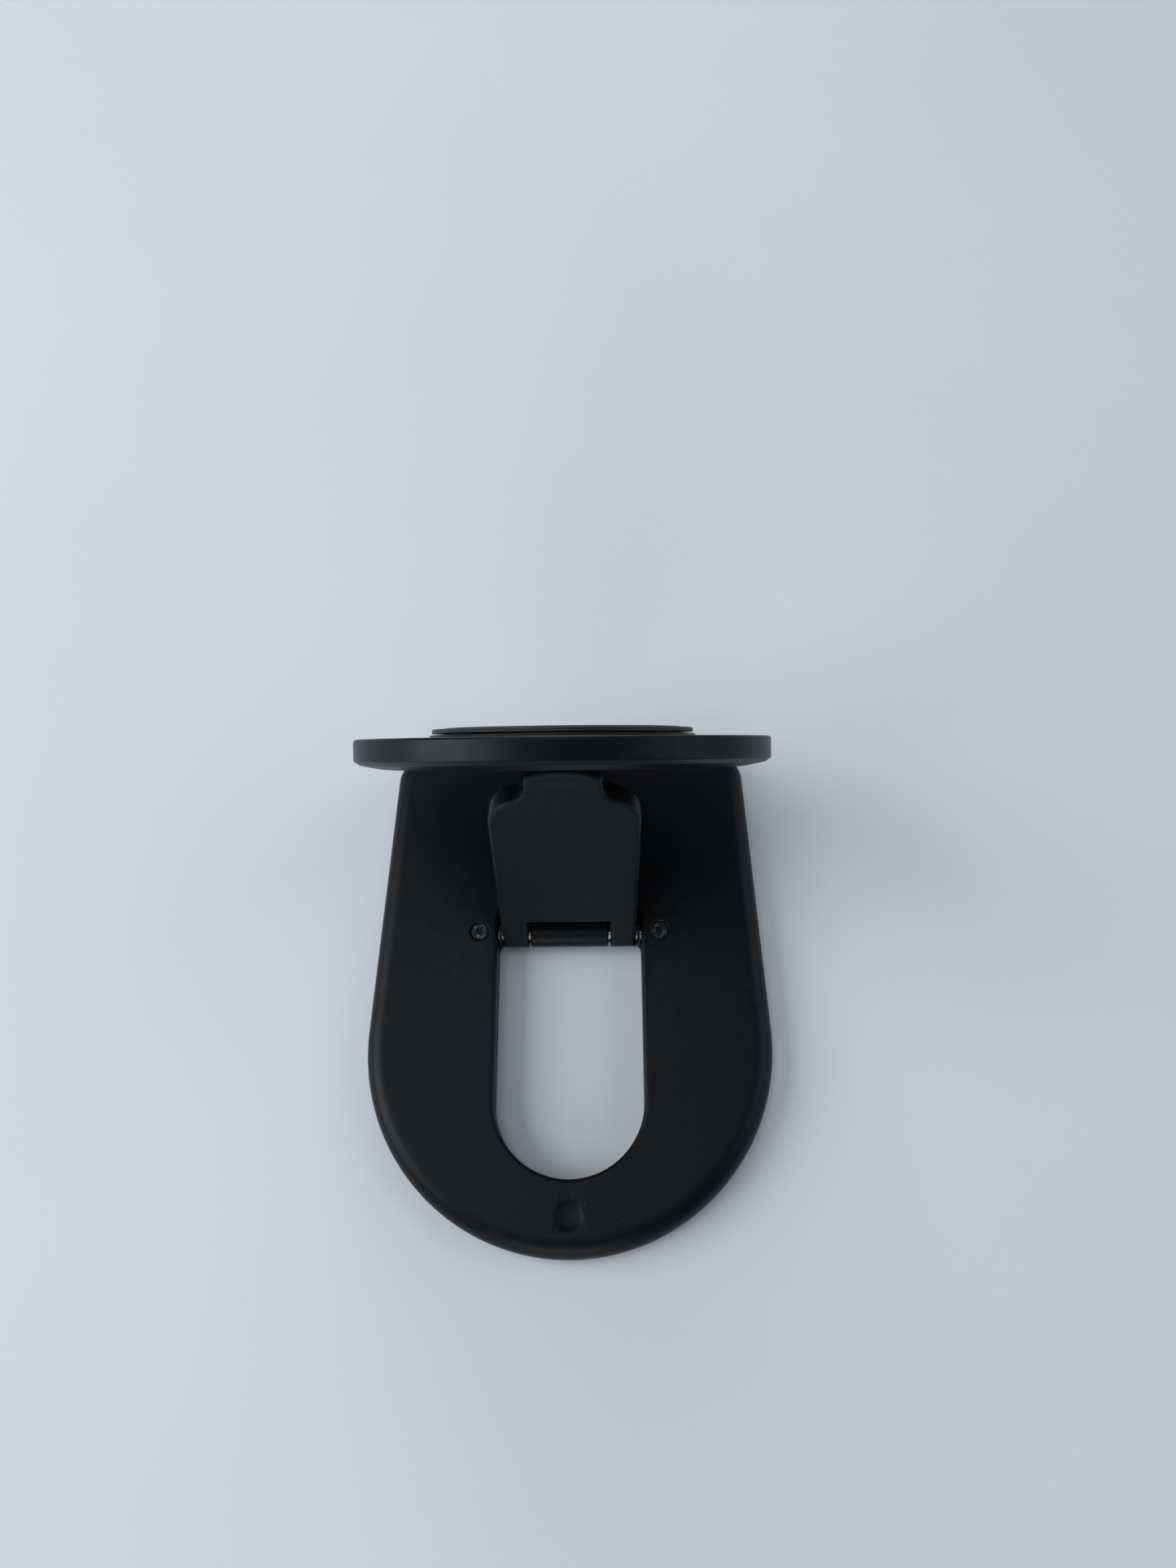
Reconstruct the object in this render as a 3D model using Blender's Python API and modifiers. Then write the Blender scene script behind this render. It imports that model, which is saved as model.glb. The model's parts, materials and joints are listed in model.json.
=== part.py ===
"""Fold-flat magnetic phone mount: a stick-on loop base, a hinged arm and a spinning magnetic disc.

Metres, +Z up. The origin is on the underside of the adhesive pad, straight below the base hinge.
+Y points to the side that the phone hangs on, and the loop's round end points to -Y.
"""
import math

import bmesh
import bpy
from mathutils import Matrix

# Heights of the base, from the surface it is stuck to
PAD_THICKNESS = 0.0008
LAYER_GAP = 0.0002
BASE_BOTTOM = PAD_THICKNESS + LAYER_GAP
BASE_TOP = 0.0054
COVER_THICKNESS = 0.0007
COVER_POCKET_DEPTH = COVER_THICKNESS + LAYER_GAP

# Outline of the base, seen from above
END_RADIUS = 0.0294
END_CENTRE_Y = -0.0161
NEAR_END_Y = 0.0295
NEAR_HALF_WIDTH = 0.0272
NEAR_CORNER_RADIUS = 0.0044
EDGE_ROUNDING = 0.0028
PAD_INSET = 0.0009
COVER_INSET = 0.0034

# Slot that the arm folds into
SLOT_HALF_WIDTH = 0.0107
SLOT_END_CENTRE_Y = -0.0245
SLOT_HINGE_Y = 0.004
PAD_SLOT_HINGE_Y = -0.0004
SLOT_CORNER_RADIUS = 0.002
COVER_SLOT_MARGIN = 0.0016

# Base hinge
HINGE_Z = 0.0034
KNUCKLE_RADIUS = 0.0019
BASE_KNUCKLE_HALF = 0.0058
PIN_RADIUS = 0.0009
PIN_HALF_LENGTH = 0.0146
RUNNING_FIT = 0.0001
BUSH_RADIUS = 0.00132
SET_SCREW_X = 0.0134
SET_SCREW_RADIUS = 0.00125

# Arm, along its own +Z from the base hinge to the tilt hinge
ARM_LENGTH = 0.0307
ARM_LEAN = math.radians(24)
EAR_HALF_WIDTH = 0.0099
ARM_HALF_WIDTH = 0.0104
ARM_HALF_THICKNESS = 0.0019
EAR_INNER_X = 0.0061
NOTCH_DEPTH = 0.0046
SHOULDER_HEIGHT = 0.0249
SHOULDER_RADIUS = 0.0046
SHOULDER_SWEEP = 74
NECK_HALF_WIDTH = 0.0052
NECK_HEIGHT = 0.0313
NECK_FILLET = ((0.0010, 0.0014), (0.0004, 0.0010))
TIP_CENTRE = 0.0245
TIP_RADIUS = 0.0102
FORK_SLOT_HALF = 0.0026
FORK_GAP = 0.00015
END_BEVEL_HEIGHT = 0.0018

# Head, along its own +Z from the tilt hinge to the phone
FACE_ELEVATION = math.radians(24.7)
TAB_HALF = 0.002
TAB_RADIUS = 0.0013
TILT_PIN_RADIUS = 0.0006
TILT_WASHER_RADIUS = 0.0012
POST_RADIUS = 0.0052
POST_BOTTOM = 0.0021
DISC_RADIUS = 0.0273
DISC_BACK = 0.0023
DISC_BACK_FLAT_RADIUS = 0.0235
RIM_BACK = 0.0029
RIM_FRONT = 0.0062
RIM_LIP_WIDTH = 0.0008
RIM_LIP_HEIGHT = 0.0005
SHELL_WALL = 0.001
SPIN_GAP = 0.0001
FLANGE_BOTTOM = 0.0037
FLANGE_TOP = 0.0043
FLANGE_RADIUS = 0.0074
RETAINER_RADIUS = 0.0115
RETAINER_SCREW_CIRCLE = 0.0096
FRONT_COVER_BACK = 0.0055
LAND_RADIUS = 0.0175
LAND_FRONT = 0.0067
SOFT_PAD_FRONT = 0.0076
MAGNET_COUNT = 16
MAGNET_INNER = 0.0224
MAGNET_OUTER = 0.0256

ROUND_STEPS = 64
SMALL_STEPS = 24
OVERCUT = 0.002


def clear_scene():
    """Remove every object, so that the script can run in a file that already holds some."""
    for old in list(bpy.data.objects):
        bpy.data.objects.remove(old, do_unlink=True)


def new_collection(name, hidden=False):
    """Make a collection in the scene."""
    made = bpy.data.collections.new(name)
    bpy.context.scene.collection.children.link(made)
    made.hide_render = hidden
    return made


clear_scene()
PARTS = new_collection("magnetic_phone_mount")
CUTTERS = new_collection("cutters", hidden=True)


def empty_at(name, y, z, turn):
    """An empty on a hinge axis, turned about X."""
    made = bpy.data.objects.new(name, None)
    PARTS.objects.link(made)
    made.location = (0.0, y, z)
    made.rotation_euler = (turn, 0.0, 0.0)
    made.empty_display_size = 0.01
    return made


PIVOT_Y = ARM_LENGTH * math.sin(ARM_LEAN)
PIVOT_Z = HINGE_Z + ARM_LENGTH * math.cos(ARM_LEAN)
ARM_AXIS = empty_at("arm_axis", 0.0, HINGE_Z, -ARM_LEAN)
HEAD_AXIS = empty_at("head_axis", PIVOT_Y, PIVOT_Z, FACE_ELEVATION - math.pi / 2)


def material(name, colour, roughness, metallic):
    """A Principled material, made once for each name."""
    found = bpy.data.materials.get(name)
    if found:
        return found
    made = bpy.data.materials.new(name)
    made.use_nodes = True
    shader = made.node_tree.nodes["Principled BSDF"]
    shader.inputs["Base Color"].default_value = (*colour, 1.0)
    shader.inputs["Roughness"].default_value = roughness
    shader.inputs["Metallic"].default_value = metallic
    return made


def base_plastic():
    return material("base_plastic", (0.016, 0.019, 0.024), 0.42, 0.0)


def arm_plastic():
    return material("arm_plastic", (0.022, 0.025, 0.029), 0.46, 0.0)


def head_plastic():
    return material("head_plastic", (0.018, 0.021, 0.026), 0.44, 0.0)


def steel():
    return material("steel", (0.55, 0.56, 0.57), 0.35, 1.0)


def dark_screw():
    return material("dark_screw", (0.035, 0.038, 0.042), 0.38, 0.8)


def brass():
    return material("brass", (0.78, 0.60, 0.30), 0.3, 1.0)


def magnet_nickel():
    return material("magnet_nickel", (0.66, 0.64, 0.60), 0.22, 1.0)


def soft_rubber():
    return material("soft_rubber", (0.012, 0.013, 0.015), 0.75, 0.0)


def adhesive_foam():
    return material("adhesive_foam", (0.03, 0.03, 0.032), 0.85, 0.0)


def place(made, finish, parent, home):
    """Give an object its material, parent and collection."""
    made.data.materials.clear()
    if finish:
        made.data.materials.append(finish)
    made.parent = parent
    if home is CUTTERS:
        made.hide_render = True
        made.display_type = "WIRE"
    return made


def arc(x, y, radius, start, end, steps):
    """Points along an arc, angles in degrees, both ends included."""
    angles = [math.radians(start + (end - start) * i / steps) for i in range(steps + 1)]
    return [(x + radius * math.cos(a), y + radius * math.sin(a)) for a in angles]


def box_outline(x0, x1, y0, y1):
    return [(x0, y0), (x1, y0), (x1, y1), (x0, y1)]


def flat_solid(name, outline, low, high, finish=None, parent=None, home=PARTS):
    """A flat outline in X and Y, filled and given its thickness from low to high along Z."""
    curve = bpy.data.curves.new(name + "_outline", "CURVE")
    curve.dimensions = "2D"
    curve.fill_mode = "BOTH"
    curve.extrude = (high - low) / 2
    spline = curve.splines.new("POLY")
    spline.points.add(len(outline) - 1)
    for point, (x, y) in zip(spline.points, outline):
        point.co = (x, y, 0.0, 1.0)
    spline.use_cyclic_u = True
    guide = bpy.data.objects.new(name + "_curve", curve)
    home.objects.link(guide)
    graph = bpy.context.evaluated_depsgraph_get()
    mesh = bpy.data.meshes.new_from_object(guide.evaluated_get(graph))
    bpy.data.objects.remove(guide, do_unlink=True)
    mesh.transform(Matrix.Translation((0.0, 0.0, (low + high) / 2)))
    tidy = bmesh.new()
    tidy.from_mesh(mesh)
    bmesh.ops.remove_doubles(tidy, verts=tidy.verts, dist=0.000001)
    bmesh.ops.dissolve_limit(tidy, angle_limit=0.01, verts=tidy.verts, edges=tidy.edges)
    bmesh.ops.recalc_face_normals(tidy, faces=tidy.faces)
    tidy.to_mesh(mesh)
    tidy.free()
    made = bpy.data.objects.new(name, mesh)
    home.objects.link(made)
    return place(made, finish, parent, home)


def side_solid(name, outline, x0, x1, finish=None, parent=None, home=PARTS):
    """A flat outline in Y and Z, given its thickness from x0 to x1."""
    made = flat_solid(name, outline, x0, x1, finish, parent, home)
    made.data.transform(Matrix(((0, 0, 1, 0), (1, 0, 0, 0), (0, 1, 0, 0), (0, 0, 0, 1))))
    return made


def arm_plate(name, outline, y0, y1, finish=None, parent=None, home=PARTS):
    """A flat outline in X and Z, given its thickness from y0 to y1."""
    made = flat_solid(name, outline, -y1, -y0, finish, parent, home)
    made.data.transform(Matrix(((1, 0, 0, 0), (0, 0, -1, 0), (0, 1, 0, 0), (0, 0, 0, 1))))
    return made


def turned(name, profile, steps, finish=None, parent=None, home=PARTS, ring=False, at=(0.0, 0.0)):
    """A profile of (radius, height) points turned about Z. It runs down the outer side."""
    mesh = bpy.data.meshes.new(name)
    verts = [(r, 0.0, z) for r, z in profile]
    edges = [(i, i + 1) for i in range(len(verts) - 1)]
    if ring:
        edges.append((len(verts) - 1, 0))
    mesh.from_pydata(verts, edges, [])
    made = bpy.data.objects.new(name, mesh)
    home.objects.link(made)
    screw = made.modifiers.new("turn", "SCREW")
    screw.axis = "Z"
    screw.steps = steps
    screw.render_steps = steps
    screw.use_merge_vertices = True
    screw.merge_threshold = 0.000001
    screw.use_smooth_shade = True
    made.location = (at[0], at[1], 0.0)
    return place(made, finish, parent, home)


def ring_profile(inner, outer, low, high):
    return [(outer, high), (outer, low), (inner, low), (inner, high)]


def disc_profile(radius, low, high):
    return [(0.0, high), (radius, high), (radius, low), (0.0, low)]


def rod(name, radius, x0, x1, z=0.0, finish=None, parent=None, home=PARTS, steps=SMALL_STEPS, y=0.0):
    """A round rod along X."""
    mesh = bpy.data.meshes.new(name)
    shape = bmesh.new()
    turn = Matrix.Rotation(math.pi / 2, 4, "Y")
    shift = Matrix.Translation(((x0 + x1) / 2, y, z))
    bmesh.ops.create_cone(
        shape, cap_ends=True, segments=steps, radius1=radius, radius2=radius, depth=x1 - x0, matrix=shift @ turn
    )
    shape.to_mesh(mesh)
    shape.free()
    made = bpy.data.objects.new(name, mesh)
    home.objects.link(made)
    return place(made, finish, parent, home)


def combine(target, tool, operation):
    """Cut a tool from a piece, or join it on."""
    step = target.modifiers.new(operation.lower(), "BOOLEAN")
    step.operation = operation
    step.solver = "EXACT"
    step.object = tool


def cut(target, tool):
    combine(target, tool, "DIFFERENCE")


def join(target, tool):
    combine(target, tool, "UNION")


def round_edges(target, width, segments, test):
    """Bevel the edges that a test on both end points picks."""
    mesh = target.data
    weights = mesh.attributes.new("bevel_weight_edge", "FLOAT", "EDGE")
    for edge in mesh.edges:
        ends = [mesh.vertices[i].co for i in edge.vertices]
        weights.data[edge.index].value = 1.0 if test(*ends) else 0.0
    step = target.modifiers.new("rounding", "BEVEL")
    step.limit_method = "WEIGHT"
    step.width = width
    step.segments = segments
    step.use_clamp_overlap = False


def smooth(target, degrees=35):
    """Shade a piece smooth, but for its sharp edges."""
    target.data.shade_smooth()
    target.data.set_sharp_from_angle(angle=math.radians(degrees))


# ---------------------------------------------------------------- base


def base_outline(inset):
    """The loop's outer outline, moved inwards by an inset: a round end, two tapering sides, a square end."""
    radius = END_RADIUS - inset
    lean = math.degrees(math.atan2(END_RADIUS - NEAR_HALF_WIDTH, NEAR_END_Y - END_CENTRE_Y))
    corner = max(NEAR_CORNER_RADIUS - inset, 0.001)
    corner_x = NEAR_HALF_WIDTH - inset - corner
    corner_y = NEAR_END_Y - inset - corner
    points = arc(0.0, END_CENTRE_Y, radius, 180 - lean, 360 + lean, 52)
    points += arc(corner_x, corner_y, corner, lean, 90, 6)
    points += arc(-corner_x, corner_y, corner, 90, 180 - lean, 6)
    return points


def slot_outline(margin, hinge_y):
    """The slot's outline, grown by a margin: a round end and two small corners at the hinge."""
    half = SLOT_HALF_WIDTH + margin
    corner = SLOT_CORNER_RADIUS
    top = hinge_y + margin
    points = arc(0.0, SLOT_END_CENTRE_Y, half, 180, 360, 28)
    points += arc(half - corner, top - corner, corner, 0, 90, 4)
    points += arc(corner - half, top - corner, corner, 90, 180, 4)
    return points


def cover_screw_places():
    return [(side * x, y) for x, y in ((0.0185, 0.0175), (0.0195, -0.0215)) for side in (-1, 1)]


def screw_profile(head, shank, low, slope_top, tip, grow=0.0):
    """A countersunk screw standing on its head, or with a grow value the hole for it."""
    return [(0.0, tip + grow), (shank + grow, tip + grow), (shank + grow, slope_top), (head + grow, low), (0.0, low)]


def make_base_plate():
    plate = flat_solid("base_plate", base_outline(0.0), BASE_BOTTOM, BASE_TOP, base_plastic())
    top = BASE_TOP - 0.00001
    round_edges(plate, EDGE_ROUNDING, 5, lambda a, b: a.z > top and b.z > top)
    slot = flat_solid("slot_cutter", slot_outline(0.0, SLOT_HINGE_Y), -OVERCUT, BASE_TOP + OVERCUT, home=CUTTERS)
    cut(plate, slot)
    knuckle = rod(
        "base_knuckle", KNUCKLE_RADIUS, -BASE_KNUCKLE_HALF, BASE_KNUCKLE_HALF, HINGE_Z, home=CUTTERS, steps=32
    )
    web_top = HINGE_Z + 0.0002
    web_low = HINGE_Z - KNUCKLE_RADIUS + 0.0001
    web_outline = box_outline(0.0, SLOT_HINGE_Y + 0.001, web_low, web_top)
    web = side_solid(
        "base_knuckle_web", web_outline, -BASE_KNUCKLE_HALF + 0.0001, BASE_KNUCKLE_HALF - 0.0001, home=CUTTERS
    )
    join(plate, web)
    join(plate, knuckle)
    pocket_top = BASE_BOTTOM + COVER_POCKET_DEPTH
    pocket_outline = base_outline(COVER_INSET)
    pocket = flat_solid("cover_pocket", pocket_outline, BASE_BOTTOM - OVERCUT, pocket_top, home=CUTTERS)
    island_outline = slot_outline(COVER_SLOT_MARGIN, SLOT_HINGE_Y)
    island = flat_solid("cover_island", island_outline, -OVERCUT * 2, BASE_TOP, home=CUTTERS)
    cut(pocket, island)
    cut(plate, pocket)
    bore_half = PIN_HALF_LENGTH + LAYER_GAP
    bore = rod("pin_bore", PIN_RADIUS + RUNNING_FIT, -bore_half, bore_half, HINGE_Z, home=CUTTERS)
    way = box_outline(-PIN_RADIUS - RUNNING_FIT, PIN_RADIUS + RUNNING_FIT, BASE_BOTTOM - OVERCUT, HINGE_Z)
    channel = side_solid("pin_channel", way, -bore_half, bore_half, home=CUTTERS)
    cut(plate, bore)
    cut(plate, channel)
    for index, (x, y) in enumerate(cover_screw_places(), 1):
        hole = turned(
            f"cover_screw_hole_{index}", disc_profile(0.001, BASE_BOTTOM, 0.0044), SMALL_STEPS, home=CUTTERS, at=(x, y)
        )
        cut(plate, hole)
    for side, label in ((-1, "left"), (1, "right")):
        well = turned(
            f"set_screw_well_{label}",
            disc_profile(SET_SCREW_RADIUS + RUNNING_FIT, HINGE_Z, BASE_TOP + OVERCUT),
            SMALL_STEPS,
            home=CUTTERS,
            at=(side * SET_SCREW_X, 0.0),
        )
        cut(plate, well)
    dimple_y = END_CENTRE_Y - END_RADIUS + 0.0056
    dimple = turned(
        "dimple_cutter", disc_profile(0.0019, BASE_TOP - 0.0003, BASE_TOP + OVERCUT), SMALL_STEPS,
        home=CUTTERS, at=(0.0, dimple_y)
    )
    cut(plate, dimple)
    return plate


def make_base_cover():
    top = BASE_BOTTOM + COVER_THICKNESS
    cover = flat_solid("base_cover", base_outline(COVER_INSET + 0.00025), BASE_BOTTOM, top, steel())
    island_outline = slot_outline(COVER_SLOT_MARGIN + 0.00025, SLOT_HINGE_Y)
    opening = flat_solid("cover_slot", island_outline, -OVERCUT, BASE_TOP, home=CUTTERS)
    cut(cover, opening)
    saddle_top = HINGE_Z - PIN_RADIUS - 0.0001
    saddle_outline = box_outline(-0.0007, 0.0007, BASE_BOTTOM + 0.0003, saddle_top)
    for side, label in ((-1, "left"), (1, "right")):
        inner = SLOT_HALF_WIDTH + COVER_SLOT_MARGIN + 0.0006
        ends = sorted((side * inner, side * (PIN_HALF_LENGTH - 0.0002)))
        join(cover, side_solid(f"pin_saddle_{label}", saddle_outline, ends[0], ends[1], home=CUTTERS))
    for index, (x, y) in enumerate(cover_screw_places(), 1):
        profile = [(0.0, top + OVERCUT), (0.001, top + OVERCUT), (0.001, top), (0.0019, BASE_BOTTOM)]
        profile += [(0.0019, BASE_BOTTOM - OVERCUT), (0.0, BASE_BOTTOM - OVERCUT)]
        sink = turned(f"cover_countersink_{index}", profile, SMALL_STEPS, home=CUTTERS, at=(x, y))
        cut(cover, sink)
    return cover


def hex_socket(target, name, radius, low, high, x, y, parent=None):
    """A six-sided drive recess."""
    outline = arc(x, y, radius, 0, 300, 5)
    cut(target, flat_solid(name, outline, low, high, parent=parent, home=CUTTERS))


def make_base_fasteners():
    top = BASE_BOTTOM + COVER_THICKNESS
    for index, (x, y) in enumerate(cover_screw_places(), 1):
        profile = screw_profile(0.0017, 0.0008, BASE_BOTTOM, top, 0.0042)
        screw = turned(f"cover_screw_{index}", profile, SMALL_STEPS, dark_screw(), at=(x, y))
        socket = flat_solid(
            f"cover_screw_socket_{index}", arc(0.0, 0.0, 0.0007, 0, 300, 5), 0.0, BASE_BOTTOM + 0.0005, home=CUTTERS
        )
        socket.location = (x, y, 0.0)
        cut(screw, socket)
    for side, label in ((-1, "left"), (1, "right")):
        low = HINGE_Z + PIN_RADIUS + 0.0001
        high = BASE_TOP - 0.0001
        at = (side * SET_SCREW_X, 0.0)
        screw = turned(
            f"hinge_set_screw_{label}", disc_profile(SET_SCREW_RADIUS, low, high), SMALL_STEPS, dark_screw(), at=at
        )
        hex_socket(screw, f"set_screw_socket_{label}", 0.0006, high - 0.0004, high + OVERCUT, at[0], at[1])


def make_adhesive_pad():
    pad = flat_solid("adhesive_pad", base_outline(PAD_INSET), 0.0, PAD_THICKNESS, adhesive_foam())
    opening = flat_solid("pad_slot", slot_outline(0.0, PAD_SLOT_HINGE_Y), -OVERCUT, OVERCUT, home=CUTTERS)
    cut(pad, opening)
    return pad


def make_hinge_pin():
    pin = rod("hinge_pin", PIN_RADIUS, -PIN_HALF_LENGTH, PIN_HALF_LENGTH, HINGE_Z, steel())
    smooth(pin)
    for side, label in ((-1, "left"), (1, "right")):
        ends = sorted((side * (EAR_HALF_WIDTH + 0.0002), side * (EAR_HALF_WIDTH + 0.0006)))
        washer = rod(f"friction_washer_{label}", 0.0017, ends[0], ends[1], HINGE_Z, dark_screw())
        hole = rod(f"washer_hole_{label}", PIN_RADIUS + RUNNING_FIT, ends[0] - OVERCUT, ends[1] + OVERCUT, HINGE_Z,
                   home=CUTTERS)
        cut(washer, hole)
        smooth(washer)


# ---------------------------------------------------------------- arm


def arm_outline():
    """The tongue seen from its face: it fits the slot, with round shoulders drawn in to a neck."""
    shoulder_x = ARM_HALF_WIDTH - SHOULDER_RADIUS
    right = [(0.0, 0.0), (EAR_HALF_WIDTH, 0.0)]
    right += arc(shoulder_x, SHOULDER_HEIGHT, SHOULDER_RADIUS, 0, SHOULDER_SWEEP, 10)
    right += [(NECK_HALF_WIDTH + x, NECK_HEIGHT - z) for x, z in NECK_FILLET]
    right += [(NECK_HALF_WIDTH, NECK_HEIGHT)]
    reach = math.degrees(math.acos(NECK_HALF_WIDTH / TIP_RADIUS))
    right += arc(0.0, TIP_CENTRE, TIP_RADIUS, reach + 1, 90, 6)
    left = [(-x, z) for x, z in reversed(right[1:-1])]
    return right + left


def fork_slot_outline():
    """The room for the swivel's tab, open to the back and the end, seen from the arm's edge."""
    room = TAB_RADIUS + FORK_GAP
    rest = math.pi / 2 - ARM_LEAN - FACE_ELEVATION
    reach = 0.006
    back = 0.005
    side = (-room * math.sin(math.pi / 2 - rest), room * math.cos(math.pi / 2 - rest))
    far = (side[0] + reach * math.cos(math.pi / 2 - rest), side[1] + reach * math.sin(math.pi / 2 - rest))
    turn = math.degrees(math.atan2(side[1], side[0]))
    points = [(back, -room)] + arc(0.0, 0.0, room, 270, turn, 8) + [far, (back, far[1])]
    return [(y, ARM_LENGTH + z) for y, z in points]


def end_bevel_outline():
    """What is taken off the arm's end so that it stays parallel to the disc's back at rest."""
    rest = math.pi / 2 - ARM_LEAN - FACE_ELEVATION
    reach = 0.005
    points = [(y, (END_BEVEL_HEIGHT - y * math.sin(rest)) / math.cos(rest)) for y in (reach, -reach)]
    points.append((reach, points[1][1]))
    return [(y, ARM_LENGTH + z) for y, z in points]


def make_arm_body():
    half = ARM_HALF_THICKNESS
    body = arm_plate("arm_body", arm_outline(), -half, half, arm_plastic(), ARM_AXIS)
    ears = rod("arm_ears", half, -EAR_HALF_WIDTH, EAR_HALF_WIDTH, parent=ARM_AXIS, home=CUTTERS, steps=32)
    join(body, ears)
    notch = box_outline(-EAR_INNER_X, EAR_INNER_X, -half - OVERCUT, NOTCH_DEPTH)
    cut(body, arm_plate("arm_notch", notch, -half - OVERCUT, half + OVERCUT, parent=ARM_AXIS, home=CUTTERS))
    cut(body, side_solid("fork_slot", fork_slot_outline(), -FORK_SLOT_HALF, FORK_SLOT_HALF, parent=ARM_AXIS,
                         home=CUTTERS))
    reach = ARM_HALF_WIDTH + OVERCUT
    cut(body, side_solid("end_bevel", end_bevel_outline(), -reach, reach, parent=ARM_AXIS, home=CUTTERS))
    cut(body, rod("bush_bore", BUSH_RADIUS + RUNNING_FIT, -reach, reach, parent=ARM_AXIS, home=CUTTERS))
    cut(body, rod("tilt_bore", TILT_PIN_RADIUS + RUNNING_FIT, -reach, reach, ARM_LENGTH, parent=ARM_AXIS,
                  home=CUTTERS))
    pocket = arm_pocket_outline(0.0)
    cut(body, arm_plate("arm_pocket", pocket, -half + 0.0012, half + OVERCUT, parent=ARM_AXIS, home=CUTTERS))
    return body


def arm_pocket_outline(inset):
    """The hollow in the back of the tongue, which the back cover closes."""
    half = EAR_HALF_WIDTH - 0.0013 - inset
    low = NOTCH_DEPTH + 0.0016 + inset
    high = ARM_LENGTH - 0.0032 - inset
    corner = 0.0034 - inset
    points = arc(half - 0.001, low + 0.001, 0.001, -90, 0, 3)
    points += arc(half - corner, high - corner, corner, 0, 90, 6)
    points += arc(corner - half, high - corner, corner, 90, 180, 6)
    points += arc(0.001 - half, low + 0.001, 0.001, 180, 270, 3)
    return points


def arm_screw_places():
    return (0.0095, 0.0215)


def make_arm_inside():
    half = ARM_HALF_THICKNESS
    cover_low = half - 0.0009
    cover = arm_plate("arm_back_cover", arm_pocket_outline(0.0002), cover_low, half, arm_plastic(), ARM_AXIS)
    floor = -half + 0.0012
    strip_outline = box_outline(-0.0055, 0.0055, NOTCH_DEPTH + 0.0022, ARM_LENGTH - 0.0046)
    strip = arm_plate("arm_stiffener", strip_outline, floor + 0.0002, cover_low - 0.0002, steel(), ARM_AXIS)
    for index, z in enumerate(arm_screw_places(), 1):
        profile = [(0.0, half), (0.0015, half), (0.0007, half - 0.0008), (0.0007, floor + 0.0003), (0.0, floor + 0.0003)]
        screw = turned(f"arm_cover_screw_{index}", profile, SMALL_STEPS, dark_screw(), ARM_AXIS)
        hole_profile = [(0.0, half + OVERCUT), (0.0017, half + OVERCUT), (0.0017, half)]
        hole_profile += [(0.0009, half - 0.0008), (0.0009, -half), (0.0, -half)]
        hole = turned(f"arm_screw_hole_{index}", hole_profile, SMALL_STEPS, parent=ARM_AXIS, home=CUTTERS)
        socket = flat_solid(f"arm_screw_socket_{index}", arc(0.0, 0.0, 0.0006, 0, 300, 5), half - 0.0004,
                            half + OVERCUT, parent=ARM_AXIS, home=CUTTERS)
        for piece in (screw, hole, socket):
            piece.rotation_euler = (-math.pi / 2, 0.0, 0.0)
            piece.location = (0.0, 0.0, z)
        cut(screw, socket)
        cut(cover, hole)
        cut(strip, hole)
    for side, label in ((-1, "left"), (1, "right")):
        ends = sorted((side * (EAR_INNER_X + 0.0001), side * (EAR_HALF_WIDTH - 0.0001)))
        bush = rod(f"hinge_bush_{label}", BUSH_RADIUS, ends[0], ends[1], finish=brass(), parent=ARM_AXIS)
        hole = rod(f"bush_hole_{label}", PIN_RADIUS + RUNNING_FIT, ends[0] - OVERCUT, ends[1] + OVERCUT,
                   parent=ARM_AXIS, home=CUTTERS)
        cut(bush, hole)
        smooth(bush)


# ---------------------------------------------------------------- swivel bracket


def make_swivel():
    bracket = turned(
        "swivel_bracket",
        [(0.0, FLANGE_TOP), (FLANGE_RADIUS, FLANGE_TOP), (FLANGE_RADIUS, FLANGE_BOTTOM), (POST_RADIUS, FLANGE_BOTTOM),
         (POST_RADIUS, POST_BOTTOM), (0.0, POST_BOTTOM)],
        ROUND_STEPS // 2, steel(), HEAD_AXIS
    )
    bracket.data.materials.clear()
    bracket.data.materials.append(head_plastic())
    tab_outline = arc(0.0, 0.0, TAB_RADIUS, 180, 360, 14)
    tab_outline += [(TAB_RADIUS, POST_BOTTOM + 0.0008), (-TAB_RADIUS, POST_BOTTOM + 0.0008)]
    join(bracket, side_solid("bracket_tab", tab_outline, -TAB_HALF, TAB_HALF, parent=HEAD_AXIS, home=CUTTERS))
    bore = TILT_PIN_RADIUS + RUNNING_FIT
    cut(bracket, rod("tab_bore", bore, -0.01, 0.01, parent=HEAD_AXIS, home=CUTTERS))
    pin_half = NECK_HALF_WIDTH - 0.0001
    smooth(rod("tilt_pin", TILT_PIN_RADIUS, -pin_half, pin_half, finish=steel(), parent=HEAD_AXIS))
    for side, label in ((-1, "left"), (1, "right")):
        ends = sorted((side * (TAB_HALF + 0.00015), side * (FORK_SLOT_HALF - 0.00015)))
        washer = rod(f"tilt_washer_{label}", TILT_WASHER_RADIUS, ends[0], ends[1], finish=brass(), parent=HEAD_AXIS)
        hole = rod(f"tilt_washer_hole_{label}", bore, ends[0] - OVERCUT, ends[1] + OVERCUT, parent=HEAD_AXIS,
                   home=CUTTERS)
        cut(washer, hole)
        smooth(washer)
    floor = DISC_BACK + SHELL_WALL
    turned("spin_friction_washer", ring_profile(POST_RADIUS + 0.0004, FLANGE_RADIUS, floor + SPIN_GAP,
                                                FLANGE_BOTTOM - SPIN_GAP), ROUND_STEPS // 2, brass(), HEAD_AXIS, ring=True)


# ---------------------------------------------------------------- magnetic head


def retainer_screw_places():
    angles = [math.radians(90 + 120 * i) for i in range(3)]
    return [(RETAINER_SCREW_CIRCLE * math.cos(a), RETAINER_SCREW_CIRCLE * math.sin(a)) for a in angles]


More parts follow.
